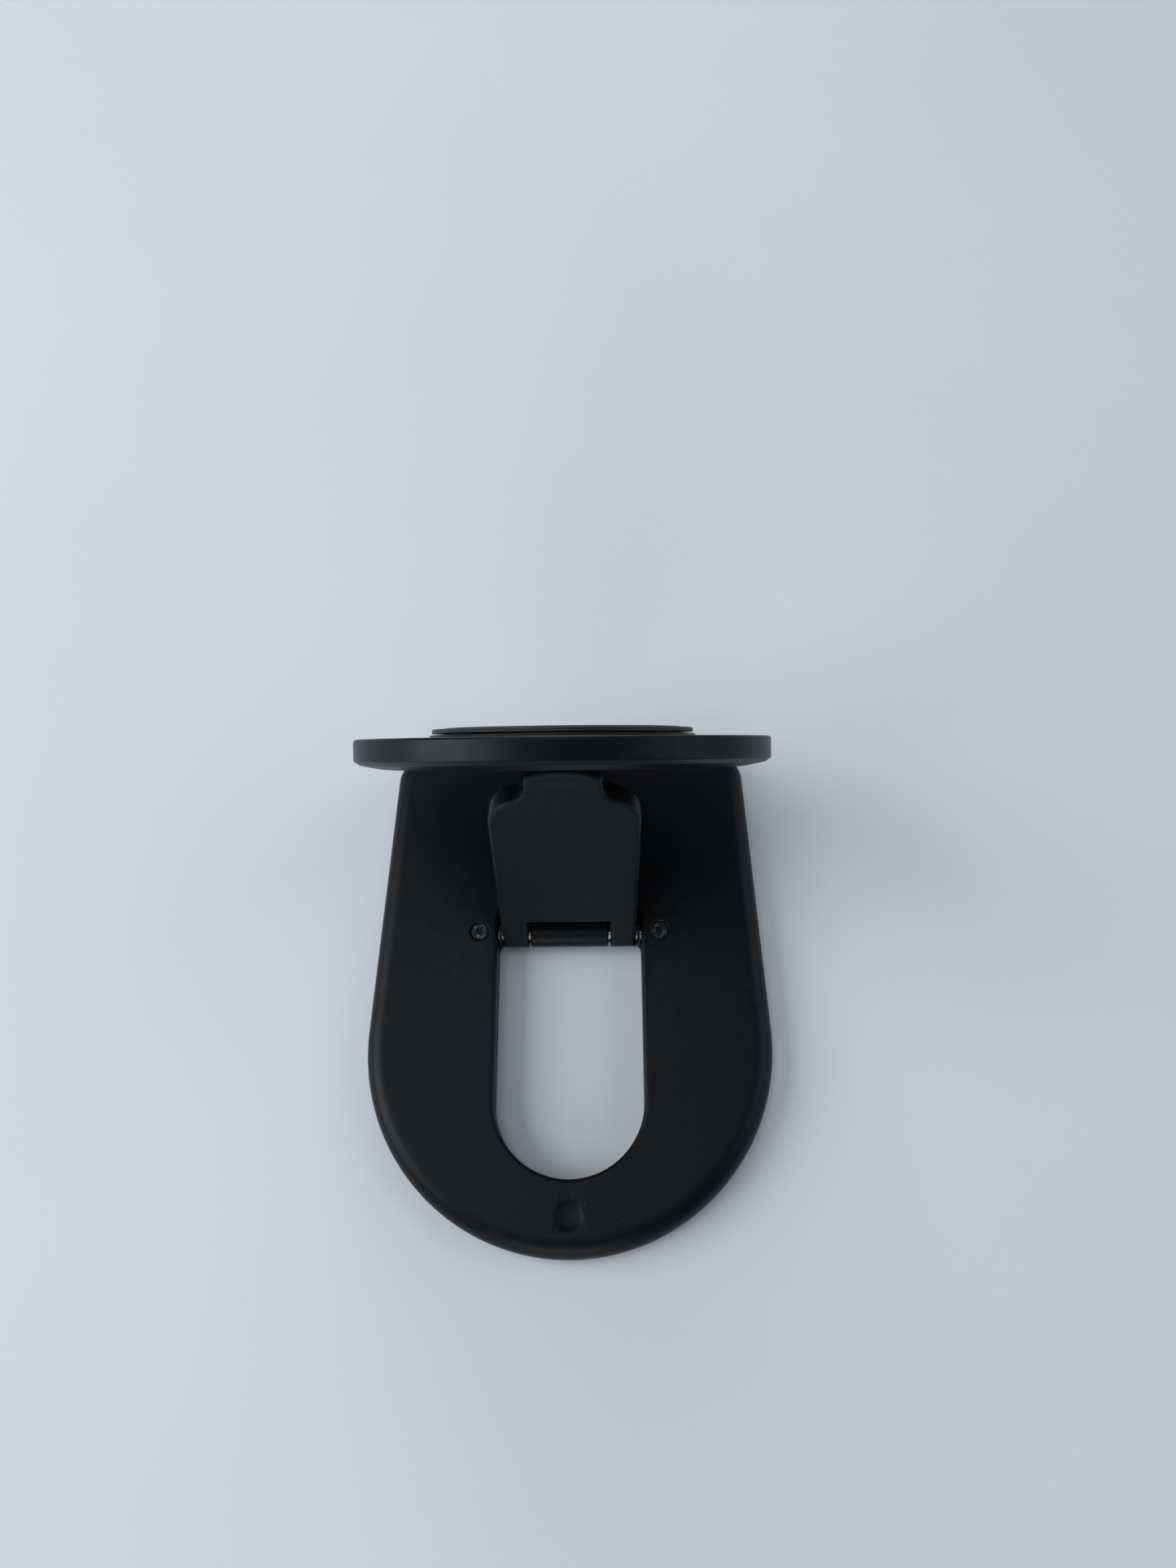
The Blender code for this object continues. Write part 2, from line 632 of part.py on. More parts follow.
def make_head_back_shell():
    hole = POST_RADIUS + 0.0003
    floor = DISC_BACK + SHELL_WALL
    wall = DISC_RADIUS - SHELL_WALL
    profile = [(DISC_RADIUS - 0.0004, RIM_FRONT), (DISC_RADIUS, RIM_FRONT - 0.0004), (DISC_RADIUS, RIM_BACK + RIM_LIP_HEIGHT)]
    profile += [(DISC_RADIUS - RIM_LIP_WIDTH, RIM_BACK), (DISC_BACK_FLAT_RADIUS, DISC_BACK), (hole, DISC_BACK), (hole, floor)]
    profile += [(DISC_BACK_FLAT_RADIUS, floor), (wall, RIM_BACK + SHELL_WALL), (wall, RIM_FRONT)]
    shell = turned("head_back_shell", profile, ROUND_STEPS, head_plastic(), HEAD_AXIS, ring=True)
    for index, (x, y) in enumerate(retainer_screw_places(), 1):
        boss = turned(f"retainer_boss_{index}", disc_profile(0.0018, floor - 0.0006, FLANGE_TOP), SMALL_STEPS,
                      parent=HEAD_AXIS, home=CUTTERS, at=(x, y))
        bore = turned(f"retainer_boss_bore_{index}", disc_profile(0.0008, floor, FLANGE_TOP + OVERCUT), SMALL_STEPS,
                      parent=HEAD_AXIS, home=CUTTERS, at=(x, y))
        join(shell, boss)
        cut(shell, bore)
    return shell


def make_retainer():
    low = FLANGE_TOP + SPIN_GAP
    high = low + 0.0005
    plate = turned("swivel_retainer", disc_profile(RETAINER_RADIUS, low, high), ROUND_STEPS // 2, steel(), HEAD_AXIS)
    for index, (x, y) in enumerate(retainer_screw_places(), 1):
        hole = turned(f"retainer_hole_{index}", disc_profile(0.0009, low - OVERCUT, high + OVERCUT), SMALL_STEPS,
                      parent=HEAD_AXIS, home=CUTTERS, at=(x, y))
        cut(plate, hole)
        head_low = high + 0.0001
        profile = [(0.0, head_low + 0.0004), (0.0014, head_low + 0.0004), (0.0014, head_low), (0.0006, head_low)]
        profile += [(0.0006, DISC_BACK + SHELL_WALL + 0.0003), (0.0, DISC_BACK + SHELL_WALL + 0.0003)]
        turned(f"retainer_screw_{index}", profile, SMALL_STEPS, dark_screw(), HEAD_AXIS, at=(x, y))


def make_magnet_ring():
    yoke_low = RIM_BACK + SHELL_WALL
    yoke_high = yoke_low + 0.0004
    profile = ring_profile(MAGNET_INNER - 0.0004, MAGNET_OUTER + 0.0003, yoke_low + 0.0001, yoke_high)
    turned("magnet_yoke", profile, ROUND_STEPS, steel(), HEAD_AXIS, ring=True)
    share = 360 / MAGNET_COUNT
    for index in range(MAGNET_COUNT):
        start = index * share + 1.2
        end = (index + 1) * share - 1.2
        outline = arc(0.0, 0.0, MAGNET_OUTER, start, end, 4) + arc(0.0, 0.0, MAGNET_INNER, end, start, 4)
        low = yoke_high + 0.0001
        high = FRONT_COVER_BACK - 0.0001
        flat_solid(f"magnet_{index + 1:02d}", outline, low, high, magnet_nickel(), HEAD_AXIS)


def make_head_front():
    edge = DISC_RADIUS - SHELL_WALL - 0.0002
    profile = [(0.0, LAND_FRONT), (LAND_RADIUS, LAND_FRONT), (LAND_RADIUS, RIM_FRONT), (edge - 0.0002, RIM_FRONT)]
    profile += [(edge, RIM_FRONT - 0.0002), (edge, FRONT_COVER_BACK), (0.0, FRONT_COVER_BACK)]
    turned("head_front_cover", profile, ROUND_STEPS, head_plastic(), HEAD_AXIS)
    low = LAND_FRONT + LAYER_GAP
    pad = [(0.0, SOFT_PAD_FRONT), (LAND_RADIUS - 0.0007, SOFT_PAD_FRONT), (LAND_RADIUS - 0.0003, SOFT_PAD_FRONT - 0.0004)]
    pad += [(LAND_RADIUS - 0.0003, low), (0.0, low)]
    turned("soft_pad", pad, ROUND_STEPS, soft_rubber(), HEAD_AXIS)


make_base_plate()
make_base_cover()
make_base_fasteners()
make_adhesive_pad()
make_hinge_pin()
make_arm_body()
make_arm_inside()
make_swivel()
make_head_back_shell()
make_retainer()
make_magnet_ring()
make_head_front()
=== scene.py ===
import json
import math

import bmesh
import bpy
from mathutils import Matrix, Vector


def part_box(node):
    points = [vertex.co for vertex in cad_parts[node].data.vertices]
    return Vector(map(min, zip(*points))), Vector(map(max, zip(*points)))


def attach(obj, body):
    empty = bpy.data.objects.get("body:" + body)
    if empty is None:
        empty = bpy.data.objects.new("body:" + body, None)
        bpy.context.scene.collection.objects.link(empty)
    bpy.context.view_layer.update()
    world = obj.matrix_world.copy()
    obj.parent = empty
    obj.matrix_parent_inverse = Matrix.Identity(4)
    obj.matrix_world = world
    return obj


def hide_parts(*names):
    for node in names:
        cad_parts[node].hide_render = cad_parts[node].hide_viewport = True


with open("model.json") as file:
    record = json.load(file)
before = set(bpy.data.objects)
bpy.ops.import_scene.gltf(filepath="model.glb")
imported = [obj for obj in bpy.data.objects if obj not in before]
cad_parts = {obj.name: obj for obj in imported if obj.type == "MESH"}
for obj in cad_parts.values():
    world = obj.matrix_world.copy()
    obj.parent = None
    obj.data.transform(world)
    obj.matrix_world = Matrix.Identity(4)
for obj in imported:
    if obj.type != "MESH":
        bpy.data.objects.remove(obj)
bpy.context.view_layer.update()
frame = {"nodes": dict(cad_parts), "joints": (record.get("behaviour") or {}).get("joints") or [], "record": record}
joints = {j["name"]: j for j in frame["joints"]}
hinge = Vector(joints["arm_fold"]["pos_m"])
pivot = Vector(joints["head_tilt"]["pos_m"])
faceNormal = Vector(joints["head_spin"]["axis"]).normalized()
armLength = (pivot - hinge).length
toolBin = []  # cutters, removed once their cuts are made


def spaceAlong(origin, axis):
    # local Z runs along the axis and local X stays the world's X
    right = Vector((1, 0, 0))
    side = axis.cross(right).normalized()
    turn = Matrix((right, side, axis)).transposed().to_4x4()
    return Matrix.Translation(origin) @ turn


armSpace = spaceAlong(hinge, (pivot - hinge).normalized())
headSpace = spaceAlong(pivot, faceNormal)
baseSpace = Matrix.Identity(4)
print("frame loaded:", len(frame["nodes"]), "nodes, arm", round(armLength * 1000, 1), "mm")


# shader sockets that take part in ordinary arithmetic
class Value:
    def __init__(self, finish, socket):
        self.finish = finish
        self.socket = socket

    def maths(self, operation, first, second=0.0):
        return self.finish.node("ShaderNodeMath", {"operation": operation}, {0: first, 1: second})

    def __add__(self, other):
        return self.maths("ADD", self, other)

    def __radd__(self, other):
        return self.maths("ADD", other, self)

    def __sub__(self, other):
        return self.maths("SUBTRACT", self, other)

    def __rsub__(self, other):
        return self.maths("SUBTRACT", other, self)

    def __mul__(self, other):
        return self.maths("MULTIPLY", self, other)

    def __rmul__(self, other):
        return self.maths("MULTIPLY", other, self)

    def clamped(self):
        return self.finish.node("ShaderNodeClamp", {}, {"Value": self})


class Finish:
    def __init__(self, name, settings):
        self.material = bpy.data.materials.new(name)
        self.material.use_nodes = True
        self.tree = self.material.node_tree
        self.shader = self.tree.nodes["Principled BSDF"]
        for socket, value in settings.items():
            self.shader.inputs[socket].default_value = value
        self.place = self.node("ShaderNodeTexCoord", {}, {}, "Object")

    def plug(self, socket, value):
        if isinstance(value, Value):
            self.tree.links.new(value.socket, socket)
        else:
            socket.default_value = value

    def node(self, kind, settings, sockets, out=0):
        # kind of node, its own settings, then a value or a link for each socket
        made = self.tree.nodes.new(kind)
        for key, value in settings.items():
            if key == "stops":
                ramp = made.color_ramp
                for element, (position, colour) in zip((ramp.elements[0], ramp.elements[-1]), value):
                    element.position = position
                    element.color = (*colour, 1.0)
            else:
                setattr(made, key, value)
        for key, value in sockets.items():
            if isinstance(key, int):
                socket = made.inputs[key]
            else:
                socket = next(s for s in made.inputs if key in (s.identifier, s.name))
            self.plug(socket, value)
        if isinstance(out, int):
            return Value(self, made.outputs[out])
        return Value(self, next(s for s in made.outputs if out in (s.identifier, s.name)))

    def stretched(self, scale):
        return self.node("ShaderNodeMapping", {}, {"Vector": self.place, "Scale": scale})

    def noise(self, size, detail=3.0, roughness=0.5, place=None):
        # size is the width of one blotch in metres
        sockets = {"Vector": place or self.place, "Scale": 1.0 / size}
        sockets.update({"Detail": detail, "Roughness": roughness})
        return self.node("ShaderNodeTexNoise", {}, sockets)

    def cells(self, size, place=None):
        sockets = {"Vector": place or self.place, "Scale": 1.0 / size}
        return self.node("ShaderNodeTexVoronoi", {}, sockets, "Distance")

    def band(self, value, low, high):
        # 0 below low, 1 above high, smooth between
        sockets = {"Value": value, "From Min": low, "From Max": high}
        return self.node("ShaderNodeMapRange", {"interpolation_type": "SMOOTHSTEP"}, sockets)

    def blend(self, factor, first, second):
        first, second = (c if isinstance(c, Value) else (*c, 1.0) for c in (first, second))
        sockets = {"Factor_Float": factor, "A_Color": first, "B_Color": second}
        return self.node("ShaderNodeMix", {"data_type": "RGBA"}, sockets, "Result_Color")

    def attribute(self, name):
        return self.node("ShaderNodeAttribute", {"attribute_name": name}, {}, "Fac")

    def relief(self, height, depth, strength=1.0):
        sockets = {"Height": height, "Distance": depth, "Strength": strength}
        return self.node("ShaderNodeBump", {}, sockets)

    def finished(self, colour, roughness, normal=None):
        self.plug(self.shader.inputs["Base Color"], colour)
        self.plug(self.shader.inputs["Roughness"], roughness)
        if normal:
            self.plug(self.shader.inputs["Normal"], normal)
        return self.material


def mouldedPlastic(name, look):
    # spark-eroded mould grain, faint handling marks, paler worn edges and a little dust
    f = Finish(name, {"IOR": 1.46, "Specular IOR Level": look["gloss"]})
    grain = f.noise(look["grain"], 2.0, 0.6)
    fine = f.noise(look["grain"] * 0.42, 1.0)
    cloud = f.noise(0.011, 4.0, 0.55)
    smear = f.band(f.noise(0.006, 5.0, 0.6, f.stretched((1.0, 0.35, 1.0))), 0.52, 0.74)
    dust = f.band(f.noise(0.00035, 1.0), 0.74, 0.82) * f.band(cloud, 0.42, 0.66)
    wear = f.attribute("wear") * f.band(f.noise(0.0018, 4.0, 0.65), 0.25, 0.75)
    colour = f.blend(cloud, look["dark"], look["light"])
    colour = f.blend((wear * look["wear"]).clamped(), colour, look["worn"])
    colour = f.blend(dust * 0.35, colour, (0.16, 0.16, 0.155))
    rough = look["rough"] + (cloud - 0.5) * 0.10 - smear * 0.05 - wear * 0.06 + dust * 0.2
    height = grain * 0.7 + fine * 0.3
    return f.finished(colour, rough.clamped(), f.relief(height, look["relief"]))


def groundSteel(name, look):
    # straight grinding lines with a few deeper scratches and stains
    f = Finish(name, {"Metallic": 1.0})
    lines = f.noise(0.00012, 3.0, 0.7, f.stretched((0.06, 1.0, 1.0)))
    scratch = f.band(f.noise(0.0004, 2.0, 0.5, f.stretched((0.04, 1.0, 0.6))), 0.66, 0.72)
    stain = f.noise(0.004, 4.0, 0.6)
    colour = f.blend(f.band(stain, 0.35, 0.7), look["light"], look["dark"])
    rough = look["rough"] + lines * 0.16 + stain * 0.08 - scratch * 0.1
    return f.finished(colour, rough.clamped(), f.relief(lines + scratch * -0.6, 0.000008))


def platedMetal(name, look):
    # bright plating: soft ripples, pinholes and a little tarnish
    f = Finish(name, {"Metallic": 1.0})
    ripple = f.noise(0.0009, 3.0, 0.5)
    pits = 1.0 - f.band(f.cells(0.00045), 0.04, 0.10)
    tarnish = f.band(f.noise(0.0032, 5.0, 0.6), 0.45, 0.75)
    colour = f.blend(tarnish, look["light"], look["dark"])
    rough = look["rough"] + tarnish * 0.14 + ripple * 0.05
    return f.finished(colour, rough.clamped(), f.relief(ripple - pits * 0.4, 0.00001))


def blackOxide(name, look):
    # oil-blacked steel with bare metal showing on the worn edges
    f = Finish(name, {"Specular IOR Level": 0.3})
    mottle = f.noise(0.0006, 4.0, 0.6)
    bare = f.attribute("wear") * f.band(f.noise(0.0005, 3.0, 0.6), 0.45, 0.7)
    colour = f.blend(f.band(mottle, 0.35, 0.7), look["dark"], look["light"])
    colour = f.blend((bare * 0.7).clamped(), colour, (0.22, 0.22, 0.23))
    f.plug(f.shader.inputs["Metallic"], (0.25 + bare * 0.6).clamped())
    rough = look["rough"] + mottle * 0.15
    return f.finished(colour, rough.clamped(), f.relief(mottle, 0.000012))


def siliconeSkin(name, look):
    # matte silicone: sub-millimetre pebble, lint and rubbed lighter crests
    f = Finish(name, {"Specular IOR Level": 0.35, "Sheen Weight": 0.12, "Sheen Roughness": 0.5})
    pebble = f.noise(0.00022, 2.0, 0.5)
    cloud = f.noise(0.007, 4.0, 0.6)
    lint = f.band(f.noise(0.0009, 2.0, 0.5, f.stretched((0.12, 1.0, 1.0))), 0.73, 0.78)
    rubbed = f.attribute("wear") * f.band(cloud, 0.35, 0.65)
    colour = f.blend(cloud, look["dark"], look["light"])
    colour = f.blend((lint * 0.25 + rubbed * 0.3).clamped(), colour, (0.11, 0.11, 0.115))
    rough = look["rough"] + (cloud - 0.5) * 0.12 - rubbed * 0.1
    return f.finished(colour, rough.clamped(), f.relief(pebble, 0.00003))


def foamTape(name, look):
    # closed-cell acrylic foam: tight cells on the cut edge, slightly tacky skin
    f = Finish(name, {"Specular IOR Level": 0.3})
    cells = f.cells(0.00024)
    lumps = f.noise(0.0016, 4.0, 0.6)
    colour = f.blend(f.band(cells, 0.1, 0.5), look["dark"], look["light"])
    colour = f.blend(f.band(lumps, 0.5, 0.8) * 0.4, colour, (0.05, 0.05, 0.052))
    rough = look["rough"] + lumps * 0.12 - cells * 0.1
    return f.finished(colour, rough.clamped(), f.relief(cells + lumps * 0.4, 0.00005))


finishes = {
    "base_plastic": mouldedPlastic("satinBlackPlastic", {
        "dark": (0.0014, 0.0021, 0.0032), "light": (0.0024, 0.0032, 0.0044), "worn": (0.009, 0.011, 0.013),
        "wear": 0.55, "rough": 0.42, "gloss": 0.19, "grain": 0.00017, "relief": 0.000012}),
    # the arm's plastic is set about three times lighter than the plate's and the head's
    "arm_plastic": mouldedPlastic("lighterArmPlastic", {
        "dark": (0.0042, 0.0058, 0.0074), "light": (0.0058, 0.0075, 0.0092), "worn": (0.016, 0.019, 0.022),
        "wear": 0.6, "rough": 0.50, "gloss": 0.20, "grain": 0.00015, "relief": 0.000012}),
    "head_plastic": mouldedPlastic("satinHeadPlastic", {
        "dark": (0.0012, 0.0019, 0.0030), "light": (0.0021, 0.0029, 0.0040), "worn": (0.009, 0.011, 0.013),
        "wear": 0.6, "rough": 0.40, "gloss": 0.20, "grain": 0.00013, "relief": 0.000009}),
    "steel": groundSteel("groundSteel", {
        "light": (0.56, 0.57, 0.58), "dark": (0.36, 0.36, 0.37), "rough": 0.24}),
    "dark_screw": blackOxide("blackOxideSteel", {
        "dark": (0.004, 0.005, 0.006), "light": (0.014, 0.016, 0.018), "rough": 0.42}),
    "brass": platedMetal("turnedBrass", {
        "light": (0.76, 0.56, 0.26), "dark": (0.46, 0.30, 0.12), "rough": 0.22}),
    "magnet_nickel": platedMetal("nickelPlating", {
        "light": (0.68, 0.66, 0.61), "dark": (0.46, 0.43, 0.38), "rough": 0.14}),
    "soft_rubber": siliconeSkin("matteSilicone", {
        "dark": (0.0065, 0.0070, 0.0080), "light": (0.0105, 0.0112, 0.0122), "rough": 0.66}),
    "adhesive_foam": foamTape("acrylicFoamTape", {
        "dark": (0.008, 0.008, 0.009), "light": (0.020, 0.020, 0.021), "rough": 0.74}),
}
slotOf = {row["node"]: row["material_slot"] for row in frame["record"]["subparts"]}
for nodeName, cadNode in frame["nodes"].items():
    cadNode.data.materials.clear()
    cadNode.data.materials.append(finishes[slotOf[nodeName]])
print("finishes made:", len(finishes))


def arc(x, y, radius, start, end, steps):
    angles = [math.radians(start + (end - start) * i / steps) for i in range(steps + 1)]
    return [(x + radius * math.cos(a), y + radius * math.sin(a)) for a in angles]


def newPiece(name, mesh):
    piece = bpy.data.objects.new(name, mesh)
    bpy.context.scene.collection.objects.link(piece)
    return piece


def meshFrom(name, shape):
    bmesh.ops.remove_doubles(shape, verts=shape.verts, dist=1e-7)
    bmesh.ops.recalc_face_normals(shape, faces=shape.faces)
    mesh = bpy.data.meshes.new(name)
    shape.to_mesh(mesh)
    shape.free()
    return mesh


def ringOf(shape, outline, z):
    return [shape.verts.new((x, y, z)) for x, y in outline]


def skin(shape, lower, upper):
    count = len(lower)
    for i in range(count):
        j = (i + 1) % count
        shape.faces.new((lower[i], lower[j], upper[j], upper[i]))


def fillBetween(shape, *rings):
    # flat faces inside the first ring, leaving out the rings within it
    edges = []
    for ring in rings:
        edges += [shape.edges.get((ring[i - 1], ring[i])) or shape.edges.new((ring[i - 1], ring[i]))
                  for i in range(len(ring))]
    bmesh.ops.triangle_fill(shape, edges=edges, use_beauty=True)


def prism(name, outline, low, high, across=None):
    # an outline given its thickness along Z, or along the axis named in across
    shape = bmesh.new()
    lower, upper = ringOf(shape, outline, low), ringOf(shape, outline, high)
    shape.faces.new(lower)
    shape.faces.new(upper)
    skin(shape, lower, upper)
    turns = {"X": Matrix(((0, 0, 1, 0), (1, 0, 0, 0), (0, 1, 0, 0), (0, 0, 0, 1))),
             "Y": Matrix(((1, 0, 0, 0), (0, 0, 1, 0), (0, 1, 0, 0), (0, 0, 0, 1)))}
    if across:
        bmesh.ops.transform(shape, matrix=turns[across], verts=shape.verts)
    return newPiece(name, meshFrom(name, shape))


def turned(name, profile, steps, at=(0.0, 0.0), ring=False):
    # a profile of (radius, height) points turned about Z; it starts and ends on the axis unless it is a ring
    shape = bmesh.new()
    columns = []
    for i in range(steps):
        angle = 2 * math.pi * i / steps
        column = []
        for r, z in profile:
            column.append(shape.verts.new((at[0] + r * math.cos(angle), at[1] + r * math.sin(angle), z)))
        columns.append(column)
    count = len(profile)
    for i in range(steps):
        here, there = columns[i], columns[(i + 1) % steps]
        for k in range(count if ring else count - 1):
            m = (k + 1) % count
            corners = [here[k], there[k], there[m], here[m]]
            if profile[k][0] == 0.0:
                corners = [here[k], there[m], here[m]]
            elif profile[m][0] == 0.0:
                corners = [here[k], there[k], here[m]]
            shape.faces.new(corners)
    return newPiece(name, meshFrom(name, shape))


def rod(name, radius, x0, x1, centre, steps=48, chamfer=0.0):
    # a round rod along X, with a small chamfer on both ends
    profile = [(0.0, x1), (radius - chamfer, x1), (radius, x1 - chamfer)]
    profile += [(radius, x0 + chamfer), (radius - chamfer, x0), (0.0, x0)]
    if not chamfer:
        profile = [(0.0, x1), (radius, x1), (radius, x0), (0.0, x0)]
    piece = turned(name, profile, steps)
    piece.data.transform(Matrix.Translation((0.0, *centre)) @ Matrix.Rotation(math.pi / 2, 4, "Y"))
    return piece


def combine(piece, tool, operation="DIFFERENCE"):
    # the tool is cut from the piece unless another operation is named, and cleared at the end
    toolBin.append(tool)
    step = piece.modifiers.new(operation.lower(), "BOOLEAN")
    step.operation = operation
    step.solver = "EXACT"
    step.object = tool


def plain(piece):
    # live modifiers become a plain mesh
    graph = bpy.context.evaluated_depsgraph_get()
    mesh = bpy.data.meshes.new_from_object(piece.evaluated_get(graph))
    piece.modifiers.clear()
    piece.data = mesh
    return piece


def softenEdges(piece, width, segments, angle=40):
    step = piece.modifiers.new("softEdges", "BEVEL")
    step.width = width
    step.segments = segments
    step.limit_method = "ANGLE"
    step.angle_limit = math.radians(angle)
    step.use_clamp_overlap = True


def markWear(piece):
    # 1 on tight outward edges, 0 on flats, kept on the points for the finishes to read
    shape = bmesh.new()
    shape.from_mesh(piece.data)
    values = []
    for vert in shape.verts:
        outward = [e.calc_face_angle_signed(0.0) for e in vert.link_edges if len(e.link_faces) == 2]
        values.append(min(1.0, max(0.0, max(outward, default=0.0)) / math.radians(50)))
    shape.free()
    layer = piece.data.attributes.new("wear", "FLOAT", "POINT")
    layer.data.foreach_set("value", values)


def finish(piece, slotName, body, nodes, sharp=32):
    shape = bmesh.new()
    shape.from_mesh(piece.data)
    bmesh.ops.dissolve_degenerate(shape, edges=shape.edges, dist=2e-7)
    shape.to_mesh(piece.data)
    shape.free()
    piece.data.shade_smooth()
    piece.data.set_sharp_from_angle(angle=math.radians(sharp))
    # large flat faces keep their own shading right up to the small ones beside them
    step = piece.modifiers.new("flatFaces", "WEIGHTED_NORMAL")
    step.keep_sharp = True
    step.weight = 100
    plain(piece)
    markWear(piece)
    piece.data.materials.clear()
    piece.data.materials.append(finishes[slotName])
    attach(piece, body)
    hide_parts(*nodes)
    print("piece", piece.name, "faces", len(piece.data.polygons))
    return piece


baseLow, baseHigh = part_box("base_plate")
basePlate = {
    "nearHalfWidth": 0.0272, "nearCorner": 0.0044, "edgeRound": 0.0028, "underRound": 0.0003,
    "roundSteps": 12, "endSteps": 150, "cornerSteps": 14, "flatMargin": 0.0003,
    "slotHalf": 0.0107, "slotEndY": -0.0245, "slotHingeY": 0.004, "slotCorner": 0.002, "slotRound": 0.0005,
    "slotSteps": 64, "knuckleRadius": 0.0019, "knuckleHalf": 0.0058, "pinRadius": 0.001, "pinHalf": 0.0148,
    "dimpleRadius": 0.0019, "dimpleDepth": 0.0003, "dimpleFromEnd": 0.0056,
    "wellRadius": 0.00135, "wellX": 0.0134, "coverInset": 0.0034, "coverDepth": 0.0009, "coverMargin": 0.0016,
    "screwHoleRadius": 0.001, "screwHoleDepth": 0.0034, "slotRoundSteps": 5, "slotCornerSteps": 8,
    "fineEdge": 0.0002, "overcut": 0.002, "cornerLeast": 0.001,
    "dimpleSlope": 0.0005, "dimpleShoulder": 0.6, "dimpleReach": 0.0012,
}


def loopOutline(b, inset):
    # round end, two tapering sides, square near end with round corners
    endRadius = baseHigh.x
    endY = baseLow.y + endRadius
    lean = math.degrees(math.atan2(endRadius - b["nearHalfWidth"], baseHigh.y - endY))
    corner = max(b["nearCorner"] - inset, b["cornerLeast"])
    cornerX = b["nearHalfWidth"] - inset - corner
    cornerY = baseHigh.y - inset - corner
    points = arc(0.0, endY, endRadius - inset, 180 - lean, 360 + lean, b["endSteps"])
    points += arc(cornerX, cornerY, corner, lean, 90, b["cornerSteps"])
    points += arc(-cornerX, cornerY, corner, 90, 180 - lean, b["cornerSteps"])
    return points


def slotOutline(b, margin, hingeY):
    half = b["slotHalf"] + margin
    corner = b["slotCorner"] + max(margin, 0.0) * 0.5
    top = hingeY + margin
    points = arc(0.0, b["slotEndY"], half, 180, 360, b["slotSteps"])
    points += arc(half - corner, top - corner, corner, 0, 90, b["slotCornerSteps"])
    points += arc(corner - half, top - corner, corner, 90, 180, b["slotCornerSteps"])
    return points


def roundedWall(b, outlineAt, width, low, high, under, steps, outward):
    # (outline, height) pairs from the flat underside up and over the rounded upper edge
    sign = 1 if outward else -1
    rows = [(outlineAt(sign * (under + b["flatMargin"])), low), (outlineAt(sign * under), low)]
    rows += [(outlineAt(0.0), low + under), (outlineAt(0.0), high - width)]
    for k in range(1, steps + 1):
        a = math.pi / 2 * k / steps
        rows.append((outlineAt(sign * width * (1 - math.cos(a))), high - width + width * math.sin(a)))
    rows.append((outlineAt(sign * (width + b["flatMargin"])), high))
    return rows


def makeBasePlate(b):
    low, high = baseLow.z, baseHigh.z
    fine, over = b["fineEdge"], b["overcut"]
    shape = bmesh.new()
    outer = roundedWall(b, lambda i: loopOutline(b, i), b["edgeRound"], low, high, b["underRound"],
                        b["roundSteps"], True)
    inner = roundedWall(b, lambda i: slotOutline(b, -i, b["slotHingeY"]), b["slotRound"], low, high, fine,
                        b["slotRoundSteps"], False)
    walls = []
    for rows in (outer, inner):
        rings = [ringOf(shape, outline, z) for outline, z in rows]
        for lower, upper in zip(rings, rings[1:]):
            skin(shape, lower, upper)
        walls.append(rings)
    fillBetween(shape, walls[0][-1], walls[1][-1])
    fillBetween(shape, walls[0][0], walls[1][0])
    piece = newPiece("baseLoop", meshFrom("baseLoop", shape))
    # the knuckle between the arm's ears, joined to the plate by a web
    radius, half = b["knuckleRadius"], b["knuckleHalf"]
    axis = (hinge.y, hinge.z)
    webLow, webFar = hinge.z - radius + fine / 2, b["slotHingeY"] + over / 2
    web = [(-fine, webLow), (webFar, webLow), (webFar, hinge.z + fine), (-fine, hinge.z + fine)]
    combine(piece, prism("knuckleWeb", web, fine / 2 - half, half - fine / 2, across="X"), "UNION")
    combine(piece, rod("knuckleBarrel", radius, -half, half, axis, chamfer=fine), "UNION")
    # the underside's pocket for the cover, with an island round the slot
    pocket = prism("coverPocket", loopOutline(b, b["coverInset"]), low - over, low + b["coverDepth"])
    island = slotOutline(b, b["coverMargin"], b["slotHingeY"])
    combine(pocket, prism("slotIsland", island, low - 2 * over, high))
    combine(piece, pocket)
    # the pin's bore and its way in from below
    pin, reach = b["pinRadius"], b["pinHalf"]
    combine(piece, rod("pinBore", pin, -reach, reach, axis, steps=32))
    way = [(-pin, low - over), (pin, low - over), (pin, hinge.z), (-pin, hinge.z)]
    combine(piece, prism("pinWay", way, -reach, reach, across="X"))
    above = high + over / 2
    for side in (-1, 1):
        r = b["wellRadius"]
        profile = [(0.0, above), (r + fine + over / 2, above), (r, high - fine), (r, hinge.z), (0.0, hinge.z)]
        combine(piece, turned(f"well{side}", profile, 48, at=(side * b["wellX"], 0.0)))
    top, r = low + b["screwHoleDepth"], b["screwHoleRadius"]
    for place in coverScrewPlaces:
        profile = [(0.0, top), (r, top), (r, low - over), (0.0, low - over)]
        combine(piece, turned("coverScrewHole", profile, 32, at=place))
    r, deep = b["dimpleRadius"], b["dimpleDepth"]
    dish = [(0.0, above), (r + b["dimpleReach"], above), (r + fine, high)]
    dish += [(r - fine / 2, high - deep * b["dimpleShoulder"]), (r - b["dimpleSlope"], high - deep)]
    dish += [(0.0, high - deep)]
    combine(piece, turned("dimple", dish, 64, at=(0.0, baseLow.y + b["dimpleFromEnd"])))
    return finish(plain(piece), "base_plastic", "base", ["base_plate"])


coverScrewPlaces = []
for index in range(1, 5):
    screwLow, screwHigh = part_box(f"cover_screw_{index}")
    coverScrewPlaces.append(((screwLow.x + screwHigh.x) / 2, (screwLow.y + screwHigh.y) / 2))
makeBasePlate(basePlate)


adhesivePad = {"inset": 0.0009, "slotHingeY": -0.0004, "bulge": 0.00012, "rows": 6}


